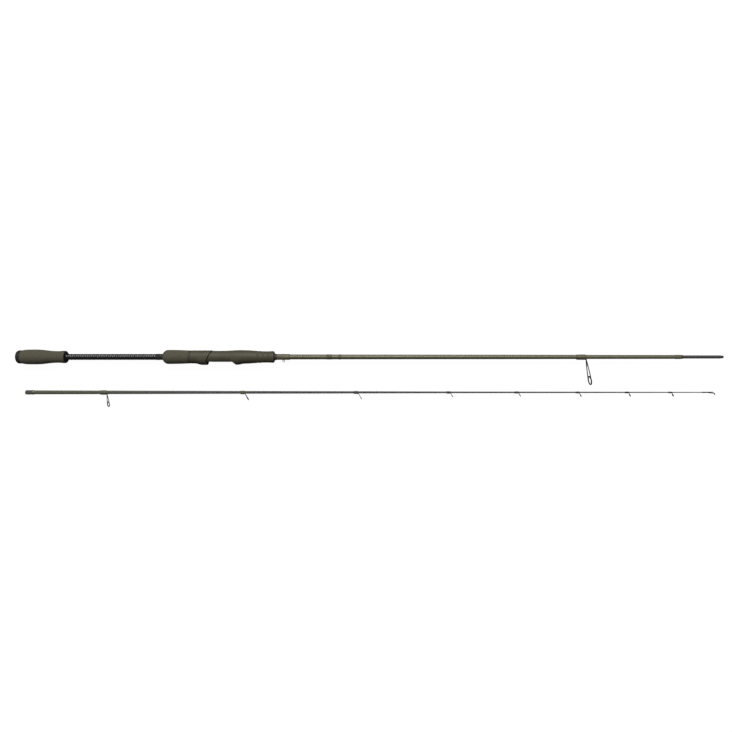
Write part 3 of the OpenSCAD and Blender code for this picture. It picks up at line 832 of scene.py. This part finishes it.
@dataclass
class SplitHandle(SubAssembly):
    """The braided shaft between the grips: flat carbon tapes woven over and under."""

    start: float = 89.0
    end: float = 248.0
    rear_r: float = 4.98
    front_r: float = 4.9
    tapes: int = 4
    crossing: float = 3.4
    tape_width: float = 4.7
    tape_rise: float = 0.26
    lift: float = 0.34
    sink: float = 0.1
    tape_depth: float = 0.22
    step: float = 0.68

    def radius(self, station: float) -> float:
        """Gives the shaft's outer radius at a station."""
        return self.rear_r + (self.front_r - self.rear_r) * (station - self.start) / (self.end - self.start)

    def tape(self, hand: int) -> bpy.types.Object:
        """Winds one tape round the shaft.

        Args:
            hand: 1 for a right-hand helix, -1 for a left-hand one.

        Returns:
            The tape.
        """
        turn_rate = math.pi / (self.crossing * self.tapes)
        half = self.tape_width / 2 / math.cos(math.atan(turn_rate * self.rear_r)) / self.rear_r
        arc = [-1.0, -0.86, -0.45, 0.0, 0.45, 0.86, 1.0]
        crown = [(a, self.tape_rise * (1 - a * a) ** 0.5) for a in arc[1:-1]]
        section = [(arc[0], 0.0), *crown, (arc[-1], 0.0), (0.5, -self.tape_depth), (-0.5, -self.tape_depth)]

        def raised(station: float) -> float:
            """Gives the radius of the tape's middle at a station."""
            wave = math.cos(math.pi * (station - self.start) / self.crossing)
            return self.radius(station) - self.sink + hand * self.lift * wave

        first = raised(self.start)
        points = []
        for share, rise in section:
            angle, r = share * half, first + rise
            points.append(BUTT_AXIS.point(self.start, -r * math.cos(angle), r * math.sin(angle)))
        piece = Bench.draw("tape", points, closed=True)
        bpy.ops.mesh.edge_face_add()
        centre = BUTT_AXIS.point(0)
        station, reach = self.start, first
        while station < self.end - 1e-6:
            ahead = min(self.step, self.end - station)
            target = raised(station + ahead)
            bpy.ops.mesh.extrude_region_move(TRANSFORM_OT_translate={"value": (ahead * MM, 0, 0)})
            bpy.ops.transform.rotate(value=hand * turn_rate * ahead, orient_axis="X", center_override=centre)
            share = target / reach
            bpy.ops.transform.resize(value=(1, share, share), center_override=centre)
            station, reach = station + ahead, target
        return Bench.tidy(piece, 50)

    def build(self) -> None:
        """Weaves the shaft from copies of two tapes round a dark core."""
        pieces = []
        for hand in (1, -1):
            first = self.tape(hand)
            pieces.append(first)
            turns = [2 * math.pi * n / self.tapes for n in range(1, self.tapes)]
            pieces.extend(Bench.repeat(first, turns, BUTT_AXIS))
        core = Bench.turned("core", BUTT_AXIS, [
            (self.start, 4.55), (self.start, self.rear_r - 0.42),
            (self.end, self.front_r - 0.4), (self.end, 4.5),
        ], sides=48)
        piece = Bench.join("braided_shaft", [*pieces, core])
        self.seat(piece, Body.BUTT, "carbon_braid", "braided_sleeve")


# ---- Reel seat ----


@dataclass
class ReelSeat(SubAssembly):
    """The screw-down reel seat: foam-covered nut, sliding hood, and the seat with its fixed hood."""

    nut_x: float = 262.15
    nut_bore: float = 5.95
    nut_sleeve_r: float = 10.2
    hood_x: float = 310.3
    hood_front: float = 348.6
    hood_bore: float = 9.3
    mouth: float = 8.5
    crown_x: float = 317.5
    crown_run: float = 14.0
    crown_rise: float = 2.65
    crown_end: float = 339.5
    crown_fall: float = 0.06
    fixed_rise: float = 2.0
    lip_x: float = 391.1
    lip_slope: float = 48.0
    seat_front: float = 460.6
    platform: float = 8.65
    pocket: float = 4.35
    pocket_r: float = 10.4
    pocket_step: float = 1.9
    slant: float = 27.0
    slant_top: float = 11.8
    joint_gap: float = 1.6
    barrel_x: float = 266.65
    barrel_r: float = 9.2
    barrel_bore: float = 6.8
    thread_root: float = 8.6
    thread_rise: float = 0.6
    rim_r: float = 4.75
    pitch: float = 2.0
    clear: float = 60.0
    sides: int = 72
    grooves: tuple[float, ...] = (431.0, 440.0, 449.0)
    groove_r: float = 10.5
    flank: float = 7.8

    def build_nut(self) -> None:
        """Turns the foam sleeve of the locking nut."""
        skin = eased([
            (self.nut_x, 8.1), (262.5, 8.9), (263.6, 9.9), (265.4, 11.3), (267.4, 12.25), (269.6, 12.6),
            (276, 12.62), (285, 12.5), (295, 12.2), (303, 11.9), (306.6, 11.75), (307.7, 11.55),
        ], 0.7)
        front, flange = skin[-1][0], self.nut_x + 3.55
        outline = [
            (self.nut_x, self.nut_bore), *skin, (front, self.nut_sleeve_r), (flange, self.nut_sleeve_r),
            (flange, self.nut_bore),
        ]
        piece = Bench.turned("nut_grip_foam", BUTT_AXIS, outline, sides=96)
        self.seat(piece, Body.NUT, "foam", "nut_grip")

    def lofted(self, name: str, skin: Outline, crown: Callable[[float], float]) -> bpy.types.Object:
        """Makes a round body whose guide side stands out further.

        Args:
            name: the piece's name.
            skin: stations and radii.
            crown: gives how far the guide side is moved out at a station.

        Returns:
            The solid body, in object mode.
        """
        Bench.clear()
        first, radius = skin[0]
        bpy.ops.mesh.primitive_circle_add(
            vertices=self.sides, radius=radius * MM, fill_type="NGON", location=BUTT_AXIS.point(first),
            rotation=(0, math.pi / 2, 0),
        )
        piece = Bench.settle(name)
        Bench.edit()
        for (x0, r0), (x1, r1) in zip(skin, skin[1:]):
            bpy.ops.mesh.extrude_region_move(TRANSFORM_OT_translate={"value": ((x1 - x0) * MM, 0, 0)})
            bpy.ops.transform.resize(value=(1, r1 / r0, r1 / r0), center_override=BUTT_AXIS.point(x1))
        for station, _ in skin:
            shift = crown(station)
            if shift > 0:
                x = BUTT_AXIS.point(station).x
                Bench.pick(lambda co: abs(co.x - x) < NEAR and co.y < BUTT_AXIS.y - 0.2 * MM)
                bpy.ops.transform.translate(value=(0, -shift * MM, 0))
        return Bench.tidy(piece)

    def ahead_of_slant(self, gap: float) -> bpy.types.Object:
        """Makes the half-space ahead of the slanted joint, for cutting."""
        pivot = BUTT_AXIS.point(self.hood_front + gap, -self.slant_top)
        half = self.clear * MM
        block = Bench.block(pivot + Vector((0, -2 * half, -half)), pivot + Vector((2 * half, 2 * half, half)))
        Bench.turn(block, math.radians(self.slant), "Z", pivot)
        return block

    def foot_space(self, start: float, end: float, height: float) -> bpy.types.Object:
        """Makes the round-bottomed space for one end of a reel foot, for cutting.

        Args:
            start: its first station.
            end: its last station.
            height: its depth below the platform.

        Returns:
            The cutter.
        """
        Bench.clear()
        drop = self.platform + height - self.pocket_r
        bpy.ops.mesh.primitive_cylinder_add(
            vertices=64, radius=self.pocket_r * MM, depth=(end - start) * MM,
            location=BUTT_AXIS.point((start + end) / 2, drop), rotation=(0, math.pi / 2, 0),
        )
        space = Bench.settle("foot_space")
        Bench.cut(space, Bench.slab(BUTT_AXIS, start - 1, end + 1, self.platform, -20, 20))
        return space

    def soften(self, piece: bpy.types.Object, width: float) -> None:
        """Rounds the sharp edges and shades the piece."""
        Bench.apply(piece, "BEVEL", width=width * MM, segments=2, limit_method="ANGLE",
                    angle_limit=math.radians(38), use_clamp_overlap=True)
        Bench.tidy(piece, 40)

    def build_hood(self) -> None:
        """Makes the sliding hood: a crowned shell with its slanted front, foot pocket and bore."""
        front = self.hood_front

        def crown(station: float) -> float:
            """Gives the swell over the foot pocket."""
            share = min(1.0, max(0.0, (station - self.crown_x) / self.crown_run))
            fall = max(0.0, station - self.crown_end) * self.crown_fall
            return self.crown_rise * share * share * (3 - 2 * share) - fall if share > 0 else 0.0

        skin = [(self.hood_x, 11.1), (310.5, 11.35), (310.9, 11.55), (311.6, 11.68)]
        skin += [(312.6 + n * 1.2, 11.72) for n in range(31)]
        piece = self.lofted("sliding_hood_shell", skin, crown)
        slanted = self.ahead_of_slant(0)
        keep = Bench.slab(BUTT_AXIS, front - 70, front + 120, self.platform + 70, self.platform, 70)
        Bench.cut(slanted, keep)
        clear = self.clear
        mouth = Bench.slab(BUTT_AXIS, front - self.mouth, front + clear, clear, self.platform, clear)
        bore = Bench.turned("bore", BUTT_AXIS, [
            (309, 0), (309, 10.55), (312.3, 10.55), (312.3, 11.05), (314.2, 11.05), (314.2, self.hood_bore),
            (front + 5, self.hood_bore), (front + 5, 0),
        ], closed=False)
        Bench.cut(piece, slanted, mouth, bore, self.foot_space(front - 19.6, front + 5, self.pocket),
                  self.foot_space(front - 26.6, front, self.pocket - self.pocket_step))
        self.soften(piece, 0.28)
        self.seat(piece, Body.HOOD, "seat_rubber", "sliding_hood")

    def seat_skin(self) -> Outline:
        """Gives the seat's outline, with rings close together at the finger grooves."""
        skin = eased([
            (334.6, 11.5), (344, 11.4), (352, 11.05), (360, 10.9), (370, 11.0), (382, 11.5), (390, 11.95),
            (400, 12.2), (412, 11.95), (417.5, 11.75), (420.5, 11.3), (425.5, 11.15), (436, 10.55),
            (446, 10.12), (452, 10.2), (457, 10.5), (459, 10.2), (460.1, 8.6), (self.seat_front, 6.3),
        ], 1.6)
        for groove in self.grooves:
            skin = [p for p in skin if abs(p[0] - groove) > 2.6]
            near = sorted((abs(p[0] - groove), p[1]) for p in skin)[0][1]
            skin += [(groove + d, near) for d in (-2.2, -1.4, -0.7, 0, 0.7, 1.4, 2.2)]
        return sorted(skin)

    def press_grooves(self, piece: bpy.types.Object) -> None:
        """Presses the finger grooves into both flanks of the seat."""
        Bench.hold(piece)
        bpy.ops.object.mode_set(mode="EDIT")
        for groove in self.grooves:
            for offset, depth in ((-1.4, 0.2), (-0.7, 0.6), (0, 0.85), (0.7, 0.6), (1.4, 0.2)):
                centre = BUTT_AXIS.point(groove + offset)
                Bench.pick(lambda co: abs(co.x - centre.x) < NEAR and abs(co.z - centre.z) > self.flank * MM)
                share = 1 - depth / self.groove_r
                bpy.ops.transform.resize(value=(1, share, share), center_override=centre)
        bpy.ops.object.mode_set(mode="OBJECT")

    def barrel(self) -> bpy.types.Object:
        """Turns the threaded barrel."""
        root, crest = self.thread_root, self.thread_root + self.thread_rise
        first, last, end = self.barrel_x + 3, self.hood_front - 12, self.hood_front + 1
        outline: Outline = [(self.barrel_x, 0), (self.barrel_x, root), (first, root)]
        for turn in range(int((last - first) / self.pitch)):
            base = first + turn * self.pitch
            outline += [(base + 0.3, crest), (base + 0.8, crest), (base + 1.2, root), (base + 1.9, root)]
        outline += [(last, self.barrel_r), (end, self.barrel_r), (end, 0)]
        return Bench.turned("barrel", BUTT_AXIS, outline, closed=False)

    def build_seat(self) -> None:
        """Makes the seat: platform, fixed hood with its slanted lip, finger grooves, barrel and bore."""
        root = self.lip_x - 5.5

        def crown(station: float) -> float:
            """Gives the swell of the fixed hood."""
            if station < self.lip_x - 8:
                return 0.0
            share = min(1.0, max(0.0, (station - self.lip_x - 1.5) / self.crown_run))
            return self.fixed_rise * (1 - share * share * (3 - 2 * share))

        piece = self.lofted("reel_seat_body", self.seat_skin(), crown)
        self.press_grooves(piece)
        behind, clear = self.hood_front - 40, self.clear
        rear = Bench.slab(BUTT_AXIS, behind, self.hood_front + 20, clear, -clear, clear)
        Bench.cut(rear, self.ahead_of_slant(self.joint_gap))
        flat = Bench.slab(BUTT_AXIS, behind, root, clear, self.platform, clear)
        corner = BUTT_AXIS.point(root, self.platform)
        lip = Bench.slab(BUTT_AXIS, root - clear, root, self.platform + clear, self.platform, clear)
        Bench.turn(lip, -math.radians(self.lip_slope), "Z", corner)
        foot_end = self.lip_x - 9
        Bench.cut(piece, rear, flat, lip, self.foot_space(foot_end, self.lip_x + 3, self.pocket),
                  self.foot_space(foot_end, self.lip_x + 11, self.pocket - self.pocket_step))
        pad = Bench.slab(BUTT_AXIS, self.hood_front + 2, foot_end, self.platform + 0.15, self.platform - 1, 5)
        Bench.apply(pad, "BEVEL", width=0.12 * MM, segments=2)
        Bench.cut(piece, pad, operation="UNION")
        self.soften(piece, 0.3)
        joint, rim = self.hood_front + 1, self.seat_front - 1.7
        bore = Bench.turned("bore", BUTT_AXIS, [
            (260, 0), (260, self.barrel_r), (joint, self.barrel_r), (joint, self.barrel_bore),
            (rim, self.barrel_bore), (rim, self.rim_r), (470, self.rim_r), (470, 0),
        ], closed=False)
        Bench.cut(piece, bore)
        Bench.tidy(piece, 40)
        self.seat(piece, Body.BUTT, "seat_rubber", "reel_seat")

    def build_barrel(self) -> None:
        """Makes the black threaded barrel that the nut and the sliding hood run on."""
        piece = self.barrel()
        front, clear = self.hood_front, self.clear
        under = Bench.slab(BUTT_AXIS, front - 90, front + 1.5, clear, self.platform, clear)
        keyway = Bench.slab(BUTT_AXIS, 266, front - 2, -13, -8.2, 1.5)
        bore = Bench.turned("bore", BUTT_AXIS, [
            (260, 0), (260, self.barrel_bore), (470, self.barrel_bore), (470, 0),
        ], closed=False)
        Bench.cut(piece, under, keyway, bore)
        piece.name = piece.data.name = "threaded_barrel"
        Bench.tidy(piece, 40)
        self.seat(piece, Body.BUTT, "black_trim")

    def build(self) -> None:
        """Builds the sub-assembly."""
        self.build_nut()
        self.build_hood()
        self.build_seat()
        self.build_barrel()


# ---- Hook keeper and wraps ----


@dataclass
class HookKeeper(SubAssembly):
    """The ridged wrap ahead of the seat that holds the hook keeper's foot."""

    start: float = 464.0
    length: float = 24.0
    keeper_x: float = 476.5
    thread: float = 0.3
    ridge: float = 0.035

    def build(self) -> None:
        """Turns the wrap with its thread ridges, and cuts the keeper's notch."""
        shoulder = [(0.0, 0.1), (0.4, 0.45), (1.0, 0.68), (1.8, 0.75)]
        skin: Outline = [(self.start + d, on_taper(BUTT_TAPER, self.start + d) + t) for d, t in shoulder]
        count = int((self.length - 4) / self.thread)
        for turn in range(count):
            for share, rise in ((0.0, 0.0), (0.5, self.ridge)):
                station = self.start + 2 + (turn + share) * self.thread
                swell = 0.1 * math.exp(-(((station - self.keeper_x) / 4.5) ** 2))
                skin.append((station, on_taper(BUTT_TAPER, station) + 0.7 + rise + swell))
        end = self.start + self.length
        skin += [(end - d, on_taper(BUTT_TAPER, end - d) + t) for d, t in reversed(shoulder)]
        outline = [(self.start, 4.5), *skin, (end, 4.45)]
        piece = Bench.turned("fore_wrap_thread", BUTT_AXIS, outline, sides=72)
        notch = Bench.slab(BUTT_AXIS, self.keeper_x - 1.8, self.keeper_x + 1.8, 12, 4.6, 1.4)
        Bench.cut(piece, notch)
        Bench.tidy(piece, 40)
        self.seat(piece, Body.BUTT, "olive_thread", "fore_wrap")


# ---- Guides ----


@dataclass(frozen=True)
class GuideSize:
    """The sizes of one single-foot guide, in millimetres and degrees."""

    node: str
    body: Body
    station: float
    drop: float
    loop_r: float
    wire: float
    lean: float
    foot: float
    slot: str

    @property
    def axis(self) -> SectionAxis:
        """The axis of the guide's section."""
        return BUTT_AXIS if self.body is Body.BUTT else TIP_AXIS

    @property
    def taper(self) -> Outline:
        """The taper of the guide's blank."""
        return BUTT_TAPER if self.body is Body.BUTT else TIP_TAPER

    @property
    def base(self) -> float:
        """The blank's radius at the guide's leg."""
        return on_taper(self.taper, self.station)

    @property
    def ring_r(self) -> float:
        """The radius at the middle of the loop's wire."""
        return self.loop_r - self.wire

    @property
    def apex_down(self) -> float:
        """How far the legs' root is from the axis."""
        return self.base + 0.9 * self.wire

    @property
    def centre(self) -> Vector:
        """The loop's centre in metres."""
        lean = math.radians(self.lean)
        down = self.drop - self.ring_r * math.cos(lean) - self.wire
        return self.axis.point(self.station + (down - self.apex_down) * math.tan(lean), down)

    @property
    def across(self) -> Vector:
        """The direction from the loop's centre away from the blank."""
        lean = math.radians(self.lean)
        return Vector((math.sin(lean), -math.cos(lean), 0))


def tube(points: Sequence[Vector], radii: Sequence[float], sides: int = 12) -> bpy.types.Object:
    """Draws a bar out along a nearly straight path.

    Args:
        points: the path in metres.
        radii: the radius at each point, in millimetres.
        sides: faces round the bar.

    Returns:
        The closed bar, in object mode.
    """
    Bench.clear()
    turn = (points[-1] - points[0]).to_track_quat("Z", "Y").to_euler()
    bpy.ops.mesh.primitive_circle_add(
        vertices=sides, radius=radii[0] * MM, fill_type="NGON", location=points[0], rotation=turn,
    )
    piece = Bench.settle("bar")
    Bench.edit()
    for before, after, r0, r1 in zip(points, points[1:], radii, radii[1:]):
        bpy.ops.mesh.extrude_region_move(TRANSFORM_OT_translate={"value": after - before})
        bpy.ops.transform.resize(value=(r1 / r0,) * 3, center_override=after)
    return Bench.tidy(piece)


def loop_of_wire(
    centre: Vector, lean: float, ring_r: float, wire: float, stretch: float = 1.0
) -> bpy.types.Object:
    """Makes a ring that leans towards the tip.

    Args:
        centre: its centre in metres.
        lean: its lean in degrees.
        ring_r: the radius at the middle of its section, in millimetres.
        wire: the section's radius in millimetres.
        stretch: the section's length along the ring's axis, as a share of its width.

    Returns:
        The ring, in object mode.
    """
    Bench.clear()
    bpy.ops.mesh.primitive_torus_add(
        major_radius=ring_r * MM, minor_radius=wire * MM, major_segments=56, minor_segments=14,
    )
    Bench.edit()
    bpy.ops.transform.resize(value=(1, 1, stretch), center_override=(0, 0, 0))
    bpy.ops.object.mode_set(mode="OBJECT")
    bpy.context.object.rotation_euler = (0, math.pi / 2, math.radians(lean))
    bpy.context.object.location = centre
    return Bench.tidy(Bench.settle("loop"))


def line_ring(
    name: str, centre: Vector, lean: float, loop_r: float, wire: float, stretch: float | None = None
) -> bpy.types.Object:
    """Makes the rounded ring inside a loop of wire.

    Args:
        name: the ring's name.
        centre: its centre in metres.
        lean: its lean in degrees.
        loop_r: the loop's outer radius in millimetres.
        wire: the radius of the loop's wire in millimetres.
        stretch: the ring's length, as a share of its width, or None for a little more than the wire's.

    Returns:
        The ring, in object mode.
    """
    outer = loop_r - 1.1 * wire
    bore = outer - 0.35 - 0.08 * loop_r
    width = (outer - bore) / 2
    piece = loop_of_wire(centre, lean, bore + width, width, stretch or max(1.0, 1.12 * wire / width))
    piece.name = piece.data.name = name
    return piece


@dataclass
class Guides(SubAssembly):
    """Nine single-foot guides: a melted-together frame, a polished ring and a thread wrap each."""

    sizes: tuple[GuideSize, ...] = field(default_factory=lambda: (
        GuideSize("stripper", Body.BUTT, 1018.4, 50.5, 8.4, 1.0, 10, 17, "olive_thread"),
        GuideSize("guide_1", Body.TIP, 146.1, 26.4, 4.9, 0.75, 8, 11.5, "olive_thread"),
        GuideSize("guide_2", Body.TIP, 395.6, 14.1, 3.4, 0.6, 30, 8, "olive_thread"),
        GuideSize("guide_3", Body.TIP, 600.4, 12.4, 2.9, 0.55, 30, 8, "dark_thread"),
        GuideSize("guide_4", Body.TIP, 766.9, 9.1, 2.55, 0.5, 30, 7.5, "dark_thread"),
        GuideSize("guide_5", Body.TIP, 890, 7.7, 2.35, 0.5, 28, 7.5, "dark_thread"),
        GuideSize("guide_6", Body.TIP, 999.6, 8, 2.35, 0.5, 26, 6.5, "dark_thread"),
        GuideSize("guide_7", Body.TIP, 1088.8, 7.7, 2.35, 0.5, 24, 6.5, "dark_thread"),
        GuideSize("guide_8", Body.TIP, 1166.5, 7.8, 2.35, 0.5, 22, 6.5, "dark_thread"),
    ))
    leg_share: float = 0.86

    def build_frame(self, size: GuideSize) -> None:
        """Builds a guide's frame: loop, two bowed legs, knuckle and tapered foot in one skin."""
        apex = size.axis.point(size.station, size.apex_down)
        away, centre = size.across, size.centre
        spread = 0.86 * math.acos(size.ring_r * MM / (centre - apex).length)
        parts = [loop_of_wire(centre, size.lean, size.ring_r, size.wire)]
        for side in (-1, 1):
            out = Vector((0, 0, side * math.sin(spread)))
            end = centre + size.ring_r * MM * (-math.cos(spread) * away + out)
            bow = Vector((0, 0, side * 0.03)) * (end - apex).length
            path = [apex + (end - apex) * t + bow * math.sin(math.pi * t) for t in (0, 0.2, 0.4, 0.6, 0.8, 1)]
            widths = [size.wire * s for s in (1.05, 0.95, self.leg_share, self.leg_share, 0.9, 0.95)]
            parts.append(tube(path, widths))
        Bench.clear()
        knuckle_r = 1.3 * size.wire * MM
        bpy.ops.mesh.primitive_uv_sphere_add(segments=20, ring_count=12, radius=knuckle_r, location=apex)
        parts.append(Bench.settle("knuckle"))
        foot = Bench.slab(
            size.axis, size.station - size.foot, size.station, size.base + 0.55 * size.wire,
            size.base - 0.35 * size.wire, 0.8 * size.wire,
        )
        bpy.ops.object.mode_set(mode="EDIT")
        rear = size.axis.point(size.station - size.foot, size.base)
        Bench.pick(lambda co: abs(co.x - rear.x) < NEAR)
        bpy.ops.transform.resize(value=(1, 0.45, 0.6), center_override=rear)
        bpy.ops.object.mode_set(mode="OBJECT")
        piece = Bench.join(f"{size.node}_wire_frame", [*parts, foot])
        Bench.apply(piece, "REMESH", mode="VOXEL", voxel_size=size.wire * 0.2 * MM, use_smooth_shade=True)
        Bench.apply(piece, "SMOOTH", factor=0.5, iterations=4)
        self.seat(piece, size.body, "guide_frame", f"{size.node}_frame")

    def build_ring(self, size: GuideSize) -> None:
        """Builds the rounded ring inside the loop."""
        piece = line_ring(f"{size.node}_polished_ring", size.centre, size.lean, size.loop_r, size.wire)
        self.seat(piece, size.body, "guide_ring", f"{size.node}_ring")

    def build_wrap(self, size: GuideSize) -> None:
        """Builds the thread wrap that binds the foot, thicker towards the leg and humped over the foot."""
        start, end = size.station - size.foot - 1.5, size.station - 1.2 * size.wire
        thick = max(0.32, 0.6 * size.wire + 0.12)
        skin = eased([
            (start, 0.06), (start + 0.5, 0.5 * thick), (start + 1.3, 0.8 * thick), ((start + end) / 2, thick),
            (end - 1.2, 1.1 * thick), (end - 0.35, 0.8 * thick), (end, 0.08),
        ], 0.3)
        rises = [(start, -0.03), *skin, (end, -0.03)]
        outline: Outline = [(x, on_taper(size.taper, x) + rise) for x, rise in rises]
        piece = Bench.turned(f"{size.node}_thread_wrap", size.axis, outline, sides=56)
        bpy.ops.object.mode_set(mode="EDIT")
        toe = size.axis.point(start + 1.4).x
        floor = (size.base + 0.1) * MM
        for half, share in ((34, 0.22), (24, 0.3), (14, 0.22)):
            def over_foot(co: Vector) -> bool:
                """Says whether a vertex lies over the foot."""
                down, side = size.axis.y - co.y, co.z - size.axis.z
                outside = co.x > toe and math.hypot(down, side) > floor
                return outside and abs(math.atan2(side, down)) < math.radians(half)

            if Bench.pick(over_foot):
                bpy.ops.transform.translate(value=(0, -share * size.wire * MM, 0))

        def beside_foot(co: Vector) -> bool:
            """Says whether a vertex lies on the foot's side of the blank."""
            down, side = size.axis.y - co.y, co.z - size.axis.z
            return down > size.base * MM * 0.4 and math.hypot(down, side) > floor

        Bench.pick(beside_foot)
        bpy.ops.mesh.vertices_smooth(factor=0.5, repeat=3)
        bpy.ops.object.mode_set(mode="OBJECT")
        Bench.tidy(piece, 60)
        self.seat(piece, size.body, size.slot, f"{size.node}_wrap")

    def build(self) -> None:
        """Builds every guide."""
        for size in self.sizes:
            self.build_frame(size)
            self.build_ring(size)
            self.build_wrap(size)


@dataclass
class TipTop(SubAssembly):
    """The tip-top: a tube on the blank's end, a loop held by two struts and a nose, and its ring."""

    start: float = 1219.6
    length: float = 21.5
    radius: float = 1.05
    loop_r: float = 2.1
    wire: float = 0.4
    lean: float = 25.0

    def build(self) -> None:
        """Builds the frame and the ring."""
        end, ring_r, lean = self.start + self.length, self.loop_r - self.wire, math.radians(self.lean)
        centre = TIP_AXIS.point(end + 1.2 + ring_r * math.sin(lean), ring_r * math.cos(lean) + 1.2)
        sleeve = Bench.turned("sleeve", TIP_AXIS, [
            (self.start, 0), (self.start, 0.92), (self.start + 0.25, self.radius), (end - 1.2, self.radius),
            (end - 0.5, 0.9), (end, 0.5), (end, 0),
        ], closed=False, sides=32)
        parts = [sleeve, loop_of_wire(centre, self.lean, ring_r, self.wire)]
        nose = [TIP_AXIS.point(end + ahead, down) for ahead, down in ((-1.2, 0), (0.1, 0.5), (1.25, 1.2))]
        parts.append(tube(nose, [0.7, 0.6, 0.45]))
        for side in (-1, 1):
            first = TIP_AXIS.point(self.start + 0.6 * self.length, 0.9, side * 0.35)
            last = centre + Vector((0, 0, side * ring_r * MM))
            parts.append(tube([first, first.lerp(last, 0.5), last], [0.36, 0.34, 0.34]))
        piece = Bench.join("tip_top_wire_frame", parts)
        Bench.apply(piece, "REMESH", mode="VOXEL", voxel_size=0.085 * MM, use_smooth_shade=True)
        Bench.apply(piece, "SMOOTH", factor=0.5, iterations=3)
        self.seat(piece, Body.TIP, "guide_frame", "tip_top_frame")
        ring = line_ring("tip_top_polished_ring", centre, self.lean, self.loop_r, self.wire, 1.7)
        self.seat(ring, Body.TIP, "guide_ring", "tip_top_ring")


# ---- Studio ----


@dataclass
class Studio:
    """A pale floor, soft light from the far side and a camera straight above."""

    lens: float = 28.82
    reach: float = 1.05
    look_x: float = -0.008
    look_y: float = 0.0222
    floor_half: float = 9.0
    glow: float = 0.97
    room: float = 0.075

    def floor(self) -> None:
        """Lays the floor that the rod lies on."""
        Bench.clear()
        bpy.ops.mesh.primitive_plane_add(size=2 * self.floor_half, location=(0, 0, -0.0004))
        ground = Bench.settle("floor")
        sheet = Sheet("floor_paper")
        paper = sheet.mixed(sheet.noise(0.4, 2), (0.055, 0.055, 0.055), (0.065, 0.065, 0.065))
        ground.data.materials.append(sheet.surface(
            Base_Color=paper, Roughness=0.95, Specular_IOR_Level=0.05,
            Emission_Color=(1.0, 1.0, 1.0), Emission_Strength=self.glow,
        ))
        ground.visible_diffuse = False
        ground.visible_glossy = False

    def lamp(self, name: str, power: float, spread: float, azimuth: float, height: float) -> None:
        """Hangs a broad distant light.

        Args:
            name: the light's name.
            power: its strength.
            spread: how wide it looks, in degrees.
            azimuth: where it stands, in degrees from +X towards +Y.
            height: its height above the horizon, in degrees.
        """
        Bench.clear()
        bpy.ops.object.light_add(type="SUN", location=(0, 0, 2))
        lamp = bpy.context.object
        lamp.name, lamp.data.energy, lamp.data.angle = name, power, math.radians(spread)
        a, h = math.radians(azimuth), math.radians(height)
        source = Vector((math.cos(a) * math.cos(h), math.sin(a) * math.cos(h), math.sin(h)))
        lamp.rotation_euler = source.to_track_quat("Z", "Y").to_euler()

    def surroundings(self) -> None:
        """Paints the room: dim and even for the lights, pale behind the rod."""
        world = bpy.data.worlds.new("studio_room")
        bpy.context.scene.world = world
        world.use_nodes = True
        tree = world.node_tree
        dim = tree.nodes["Background"]
        dim.inputs["Color"].default_value = (0.95, 0.95, 0.95, 1)
        dim.inputs["Strength"].default_value = self.room
        pale = tree.nodes.new("ShaderNodeBackground")
        pale.inputs["Color"].default_value = (1.0, 1.0, 1.0, 1)
        seen = tree.nodes.new("ShaderNodeLightPath")
        mix = tree.nodes.new("ShaderNodeMixShader")
        tree.links.new(seen.outputs["Is Camera Ray"], mix.inputs[0])
        tree.links.new(dim.outputs[0], mix.inputs[1])
        tree.links.new(pale.outputs[0], mix.inputs[2])
        tree.links.new(mix.outputs[0], tree.nodes["World Output"].inputs["Surface"])

    def camera(self) -> None:
        """Hangs the camera above the rod, looking straight down."""
        Bench.clear()
        place = (self.look_x, self.look_y, BUTT_AXIS.z + self.reach)
        bpy.ops.object.camera_add(location=place, rotation=(0, 0, 0))
        camera = bpy.context.object
        camera.data.lens = self.lens
        camera.data.clip_end = 50
        bpy.context.scene.camera = camera

    def build(self) -> None:
        """Builds the studio."""
        bpy.context.scene.view_settings.view_transform = "Standard"
        self.floor()
        self.lamp("key", 3.15, 34, 86, 50)
        self.lamp("top", 0.34, 150, 90, 84)
        self.surroundings()
        self.camera()


def main() -> None:
    """Builds the rod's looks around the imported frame."""
    logging.basicConfig(level=logging.INFO, format="%(message)s")
    finishes = Finishes()
    groups = [kind(finishes) for kind in (RearGrip, SplitHandle, ReelSeat, HookKeeper, Guides, TipTop)]
    for group in groups:
        group.build()
        LOG.info("%s built: %d pieces", type(group).__name__, len(group.made))
    for part in frame["record"]["subparts"]:
        finishes.dress_node(part["node"], part["material_slot"])
    Studio().build()


if __name__ == "__main__":
    main()
